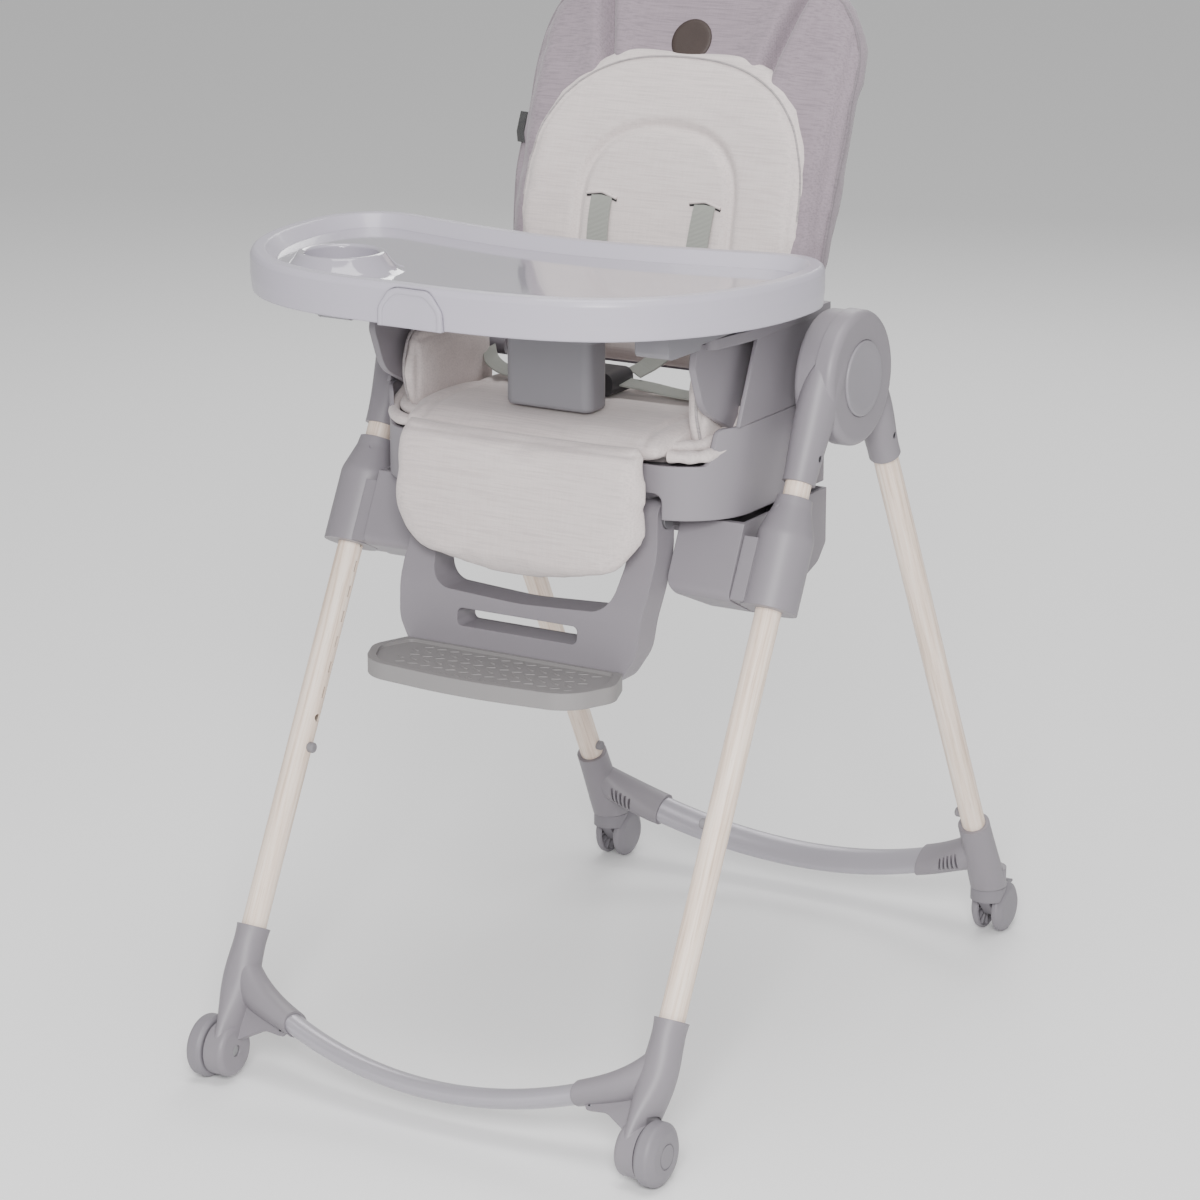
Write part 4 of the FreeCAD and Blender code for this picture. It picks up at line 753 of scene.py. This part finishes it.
def make_side_tag(pad):
    """Small plain tag sewn into the edge of the pad."""
    tree = surface_of(pad)
    low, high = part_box("backrest_pad")
    line = []
    for z in (0.899, 0.909, 0.919, 0.929):
        share = (z - PAD_FOOT) / PAD_RISE
        start = Vector((-0.5, pad_depth(share, low, high) - 0.004, z))
        hit, _, _, _ = tree.ray_cast(start, Vector((1, 0, 0)))
        line.append(hit + Vector((-0.0045, -0.001, 0)))
    tag = ribbon("side_tag", line, [(1, -0.25, 0)] * 4, [(0.25, 1, 0)] * 4, 0.011, 0.0012, "tag")
    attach(tag, "backrest")


def make_shoulder_straps(pad):
    """Webbing from the harness slots down the inlay and on to the buckle."""
    tree = surface_of(pad)
    for side, word in ((1, "left"), (-1, "right")):
        tops = [(0.061, 0.8605), (0.0605, 0.850), (0.0595, 0.825), (0.057, 0.790), (0.053, 0.750)]
        line = []
        for number, (x, z) in enumerate(tops):
            line.append(on_front(tree, side * x, z, 0.0002 + 0.0024 * number))
        line += [Vector((side * 0.048, 0.004, 0.722)), Vector((side * 0.038, -0.018, 0.706)),
                 Vector((side * 0.027, -0.036, 0.697))]
        line = smooth_line(line, 5)
        across = []
        outward = []
        for number, point in enumerate(line):
            ahead = line[min(number + 1, len(line) - 1)] - line[max(number - 1, 0)]
            flat = Vector((1, 0.0, 0))
            flat = (flat - ahead.normalized() * flat.dot(ahead.normalized())).normalized()
            across.append(flat)
            outward.append(ahead.cross(flat))
        strap = ribbon("shoulder_strap_" + word, line, across, outward, 0.025, 0.0018, "webbing")
        if side == 1:
            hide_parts("shoulder_straps")
        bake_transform(strap)
        make_harness_slot(tree, side, word)


def make_harness_slot(tree, side, word):
    """Painted shade in the slit: a near-black cord along it, with a raised fabric lip that the strap comes
    out of.
    """
    lip = []
    slit = []
    for step in range(9):
        share = step / 8 - 0.5
        x = side * (0.061 + 0.036 * share)
        z = 0.8605 - 0.004 * abs(share) * 2 - 0.003 * share * side
        lip.append(on_front(tree, x, z + 0.0022, 0.0012))
        slit.append(on_front(tree, x, z, 0.0002))
    edge = tube("slot_lip_" + word, lip, 0.0016, "light_cloth")
    # near-black cord along the slit: painted shade inside the opening
    dark = tube("slot_shade_" + word, slit, 0.0014, "slot")
    for piece in (edge, dark):
        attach(piece, "backrest")


# ---- Seat -----------------------------------------------------------------------------------------


def make_seat_cushion():
    pad = copy_of_node("seat_pad", "seat_cushion", "light_cloth")
    plump(pad, 0.001, 0.008)
    low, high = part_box("seat_cushion")
    fit_between(pad, (low.x, low.y, low.z), (high.x, high.y, high.z + 0.005))
    sew(pad, lambda co: np.abs(np.abs(co[:, 0]) - 0.128), 0.003, 0.005, (0, 0, 1))
    sew(pad, lambda co: np.abs(co[:, 1] + 0.060), 0.0025, 0.006, (0, 0, 1))
    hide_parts("seat_cushion")
    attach(pad, "seat")
    return pad


def make_bolsters():
    """Thigh bolsters: soft flaps with a sewn front edge."""
    both = copy_of_node("bolsters", "seat_bolsters", "light_cloth")
    plump(both, 0.001, 0.006, voxel=0.0045)
    low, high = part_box("seat_bolsters")
    fit_between(both, low, high)

    def near_edge(co):
        inside = np.minimum(co[:, 1] - low.y, high.z - co[:, 2])
        return np.abs(inside - 0.008)

    for facing in ((1, 0, 0), (-1, 0, 0)):
        sew(both, near_edge, 0.002, 0.003, facing)
    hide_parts("seat_bolsters")
    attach(both, "seat")
    low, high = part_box("seat_bolsters")
    for side, word in ((1, "left"), (-1, "right")):
        x = side * (high.x - 0.009)
        path = [Vector((x, low.y + 0.012, low.z + 0.004)), Vector((x, low.y + 0.001, 0.700)),
                Vector((x, low.y + 0.010, 0.733)), Vector((x, low.y + 0.030, high.z + 0.001)),
                Vector((x, -0.09, high.z + 0.002)), Vector((x, -0.04, high.z + 0.002)),
                Vector((x, high.y - 0.02, high.z - 0.004))]
        edge = tube("bolster_piping_" + word, smooth_line(path, 4), 0.0016, "thread")
        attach(edge, "seat")


def make_liner_rolls():
    """Soft rolled edge of the seat liner, tucked along the front corners of the tub."""
    for side, word in ((1, "left"), (-1, "right")):
        path = [Vector((side * 0.148, -0.176, 0.6545)), Vector((side * 0.166, -0.173, 0.6550)),
                Vector((side * 0.181, -0.163, 0.6560)), Vector((side * 0.190, -0.146, 0.6600)),
                Vector((side * 0.1935, -0.126, 0.6680)), Vector((side * 0.1940, -0.112, 0.6800)),
                Vector((side * 0.1935, -0.106, 0.6950))]
        inner = [point + Vector((-side * 0.010, 0.008, 0.0075)) for point in path]
        for layer, line in (("", path), ("_inner", inner)):
            roll = tube("liner_roll%s_%s" % (layer, word), smooth_line(line, 4), 0.0062, "light_cloth")
            co = places(roll.data)
            wobble = np.sin(co[:, 0] * 260 + co[:, 1] * 210) * 0.0006
            set_places(roll.data, co + normals(roll.data) * wobble[:, None])
            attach(roll, "seat")


def make_legrest_cover():
    """Leg rest pad that starts at the seam on the seat's front roll and hangs over the hinge."""
    columns = 29
    rows = 25
    top = 0.664
    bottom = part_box("legrest_pad")[0].z
    rear_low, rear_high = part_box("legrest_pad")
    work = bmesh.new()
    sheets = []
    half_top = 0.139
    half_bottom = 0.143
    corner = 0.066
    lean = math.tan(math.radians(6.0))
    for front in (True, False):
        sheet = []
        for r in range(rows):
            down = r / (rows - 1)
            level = top + (bottom - top) * down
            half = half_top + (half_bottom - half_top) * min(1.0, down * 1.6)
            left = level - bottom
            if left < corner:
                drop = 1 - left / corner
                half -= corner * (1 - math.sqrt(max(0.0, 1 - drop * drop)))
            half -= 0.005 * max(0.0, 1 - down * 6)
            line = []
            for c in range(columns):
                across = 2 * c / (columns - 1) - 1
                x = half * across
                z = level + 0.012 * (1 - math.cos(0.5 * math.pi * across)) * down
                hang = (0.634 - z) * lean if z < 0.634 else 0.0
                over = max(0.0, (z - 0.640) / 0.024)
                base = -0.2035 - hang + 0.006 * over * over
                edge = min(1.0, (1 - abs(across)) / 0.13, (level - bottom) / 0.018 + 0.02,
                           (top - level) / 0.012 + 0.35)
                puff = math.sin(0.5 * math.pi * max(0.0, edge)) ** 0.7
                thick = 0.0145 * puff * (1.0 - 0.25 * over)
                y = base - (thick if front else -0.0012 * puff)
                line.append(work.verts.new((x, y, z)))
            sheet.append(line)
        sheets.append(sheet)
    for index, sheet in enumerate(sheets):
        for r in range(rows - 1):
            for c in range(columns - 1):
                face = (sheet[r][c], sheet[r][c + 1], sheet[r + 1][c + 1], sheet[r + 1][c])
                work.faces.new(face if index else face[::-1])
    rim = [(0, c) for c in range(columns)] + [(r, columns - 1) for r in range(1, rows)]
    rim += [(rows - 1, c) for c in range(columns - 2, -1, -1)] + [(r, 0) for r in range(rows - 2, 0, -1)]
    for (r0, c0), (r1, c1) in zip(rim, rim[1:] + rim[:1]):
        work.faces.new((sheets[0][r0][c0], sheets[0][r1][c1], sheets[1][r1][c1], sheets[1][r0][c0]))
    bmesh.ops.recalc_face_normals(work, faces=work.faces)
    mesh = bpy.data.meshes.new("legrest_cover")
    work.to_mesh(mesh)
    work.free()
    cover = add_piece("legrest_cover", mesh, "light_cloth")
    plump(cover, 0.0, 0.006, voxel=0.0042)
    fit_between(cover, (rear_low.x, -0.2345, bottom), (rear_high.x, -0.1965, 0.6665))
    sew(cover, lambda co: np.abs(co[:, 2] - 0.6615), 0.003, 0.003, (0, -1, 0))
    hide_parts("legrest_pad")
    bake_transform(cover)


def make_lap_harness():
    """Waist webbing and crotch strap."""
    for side, word in ((1, "left"), (-1, "right")):
        line = [Vector((side * 0.024, -0.050, 0.690)), Vector((side * 0.050, -0.048, 0.688)),
                Vector((side * 0.085, -0.046, 0.684)), Vector((side * 0.118, -0.043, 0.684)),
                Vector((side * 0.142, -0.036, 0.691)), Vector((side * 0.155, -0.024, 0.702))]
        line = smooth_line(line, 5)
        across = [Vector((0, 1, 0.1))] * len(line)
        outward = []
        for number in range(len(line)):
            ahead = line[min(number + 1, len(line) - 1)] - line[max(number - 1, 0)]
            outward.append(ahead.cross(across[0]))
        strap = ribbon("lap_strap_" + word, line, across, outward, 0.025, 0.0018, "webbing")
        if side == 1:
            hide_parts("lap_straps")
        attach(strap, "seat")
    line = [Vector((0, -0.112, 0.6765)), Vector((0, -0.098, 0.6775)), Vector((0, -0.080, 0.6775)),
            Vector((0, -0.060, 0.6775)), Vector((0, -0.044, 0.6775))]
    line = smooth_line(line, 4)
    strap = ribbon("crotch_webbing", line, [(1, 0, 0)] * len(line), [(0, 0, 1)] * len(line),
                   0.025, 0.0018, "webbing")
    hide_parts("crotch_strap")
    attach(strap, "seat")


# ---- Footrest -------------------------------------------------------------------------------------


def make_footrest_grip():
    """Rows of short raised dashes on the tread, alternating in slant."""
    low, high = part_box("footrest_plate")
    top = high.z - 0.003
    work = bmesh.new()
    rows = 6
    pitch = 0.0150
    first = low.y + 0.018
    for row in range(rows):
        y = first + row * 0.0135
        room = 0.098 if row == 0 else 0.112
        count = int(2 * room / pitch)
        start = -pitch * (count - 1) / 2
        for number in range(count):
            x = start + number * pitch + (pitch / 2 if row % 2 else 0)
            if abs(x) > room:
                continue
            angle = math.radians(28 if row % 2 else -28)
            add_dash(work, Vector((x, y, top)), angle, 0.0052, 0.0014, 0.0008)
    mesh = bpy.data.meshes.new("footrest_grip")
    work.to_mesh(mesh)
    work.free()
    grip = add_piece("footrest_grip", mesh, "foot")
    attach(grip, "footrest")


def add_dash(work, centre, angle, half_length, half_width, height):
    """Low rounded bar on a horizontal face."""
    along = Vector((math.cos(angle), math.sin(angle), 0))
    side = Vector((-along.y, along.x, 0))
    loops = []
    for share, lift in ((1.0, -0.0003), (1.0, height * 0.5), (0.62, height)):
        loop = []
        for end in (1, -1):
            for step in range(5):
                turn = math.pi * (step / 4 - 0.5)
                reach = along * end * (half_length - half_width + half_width * share * math.cos(turn))
                wide = side * end * half_width * share * math.sin(turn)
                loop.append(work.verts.new(centre + reach + wide + Vector((0, 0, lift))))
        loops.append(loop)
    count = len(loops[0])
    for here, there in zip(loops, loops[1:]):
        for i in range(count):
            j = (i + 1) % count
            work.faces.new((here[i], here[j], there[j], there[i]))
    work.faces.new(loops[-1])
    work.faces.new(loops[0][::-1])


# ---- Build ----------------------------------------------------------------------------------------

add_camera()
add_studio()
paint_frame()
outer_pad = make_outer_pad()
make_rim_piping(outer_pad)
make_badge(outer_pad)
make_side_tag(outer_pad)
inlay_pad = make_inlay()
make_inlay_edge(inlay_pad)
make_shoulder_straps(inlay_pad)
make_seat_cushion()
make_bolsters()
make_liner_rolls()
make_legrest_cover()
make_lap_harness()
make_footrest_grip()
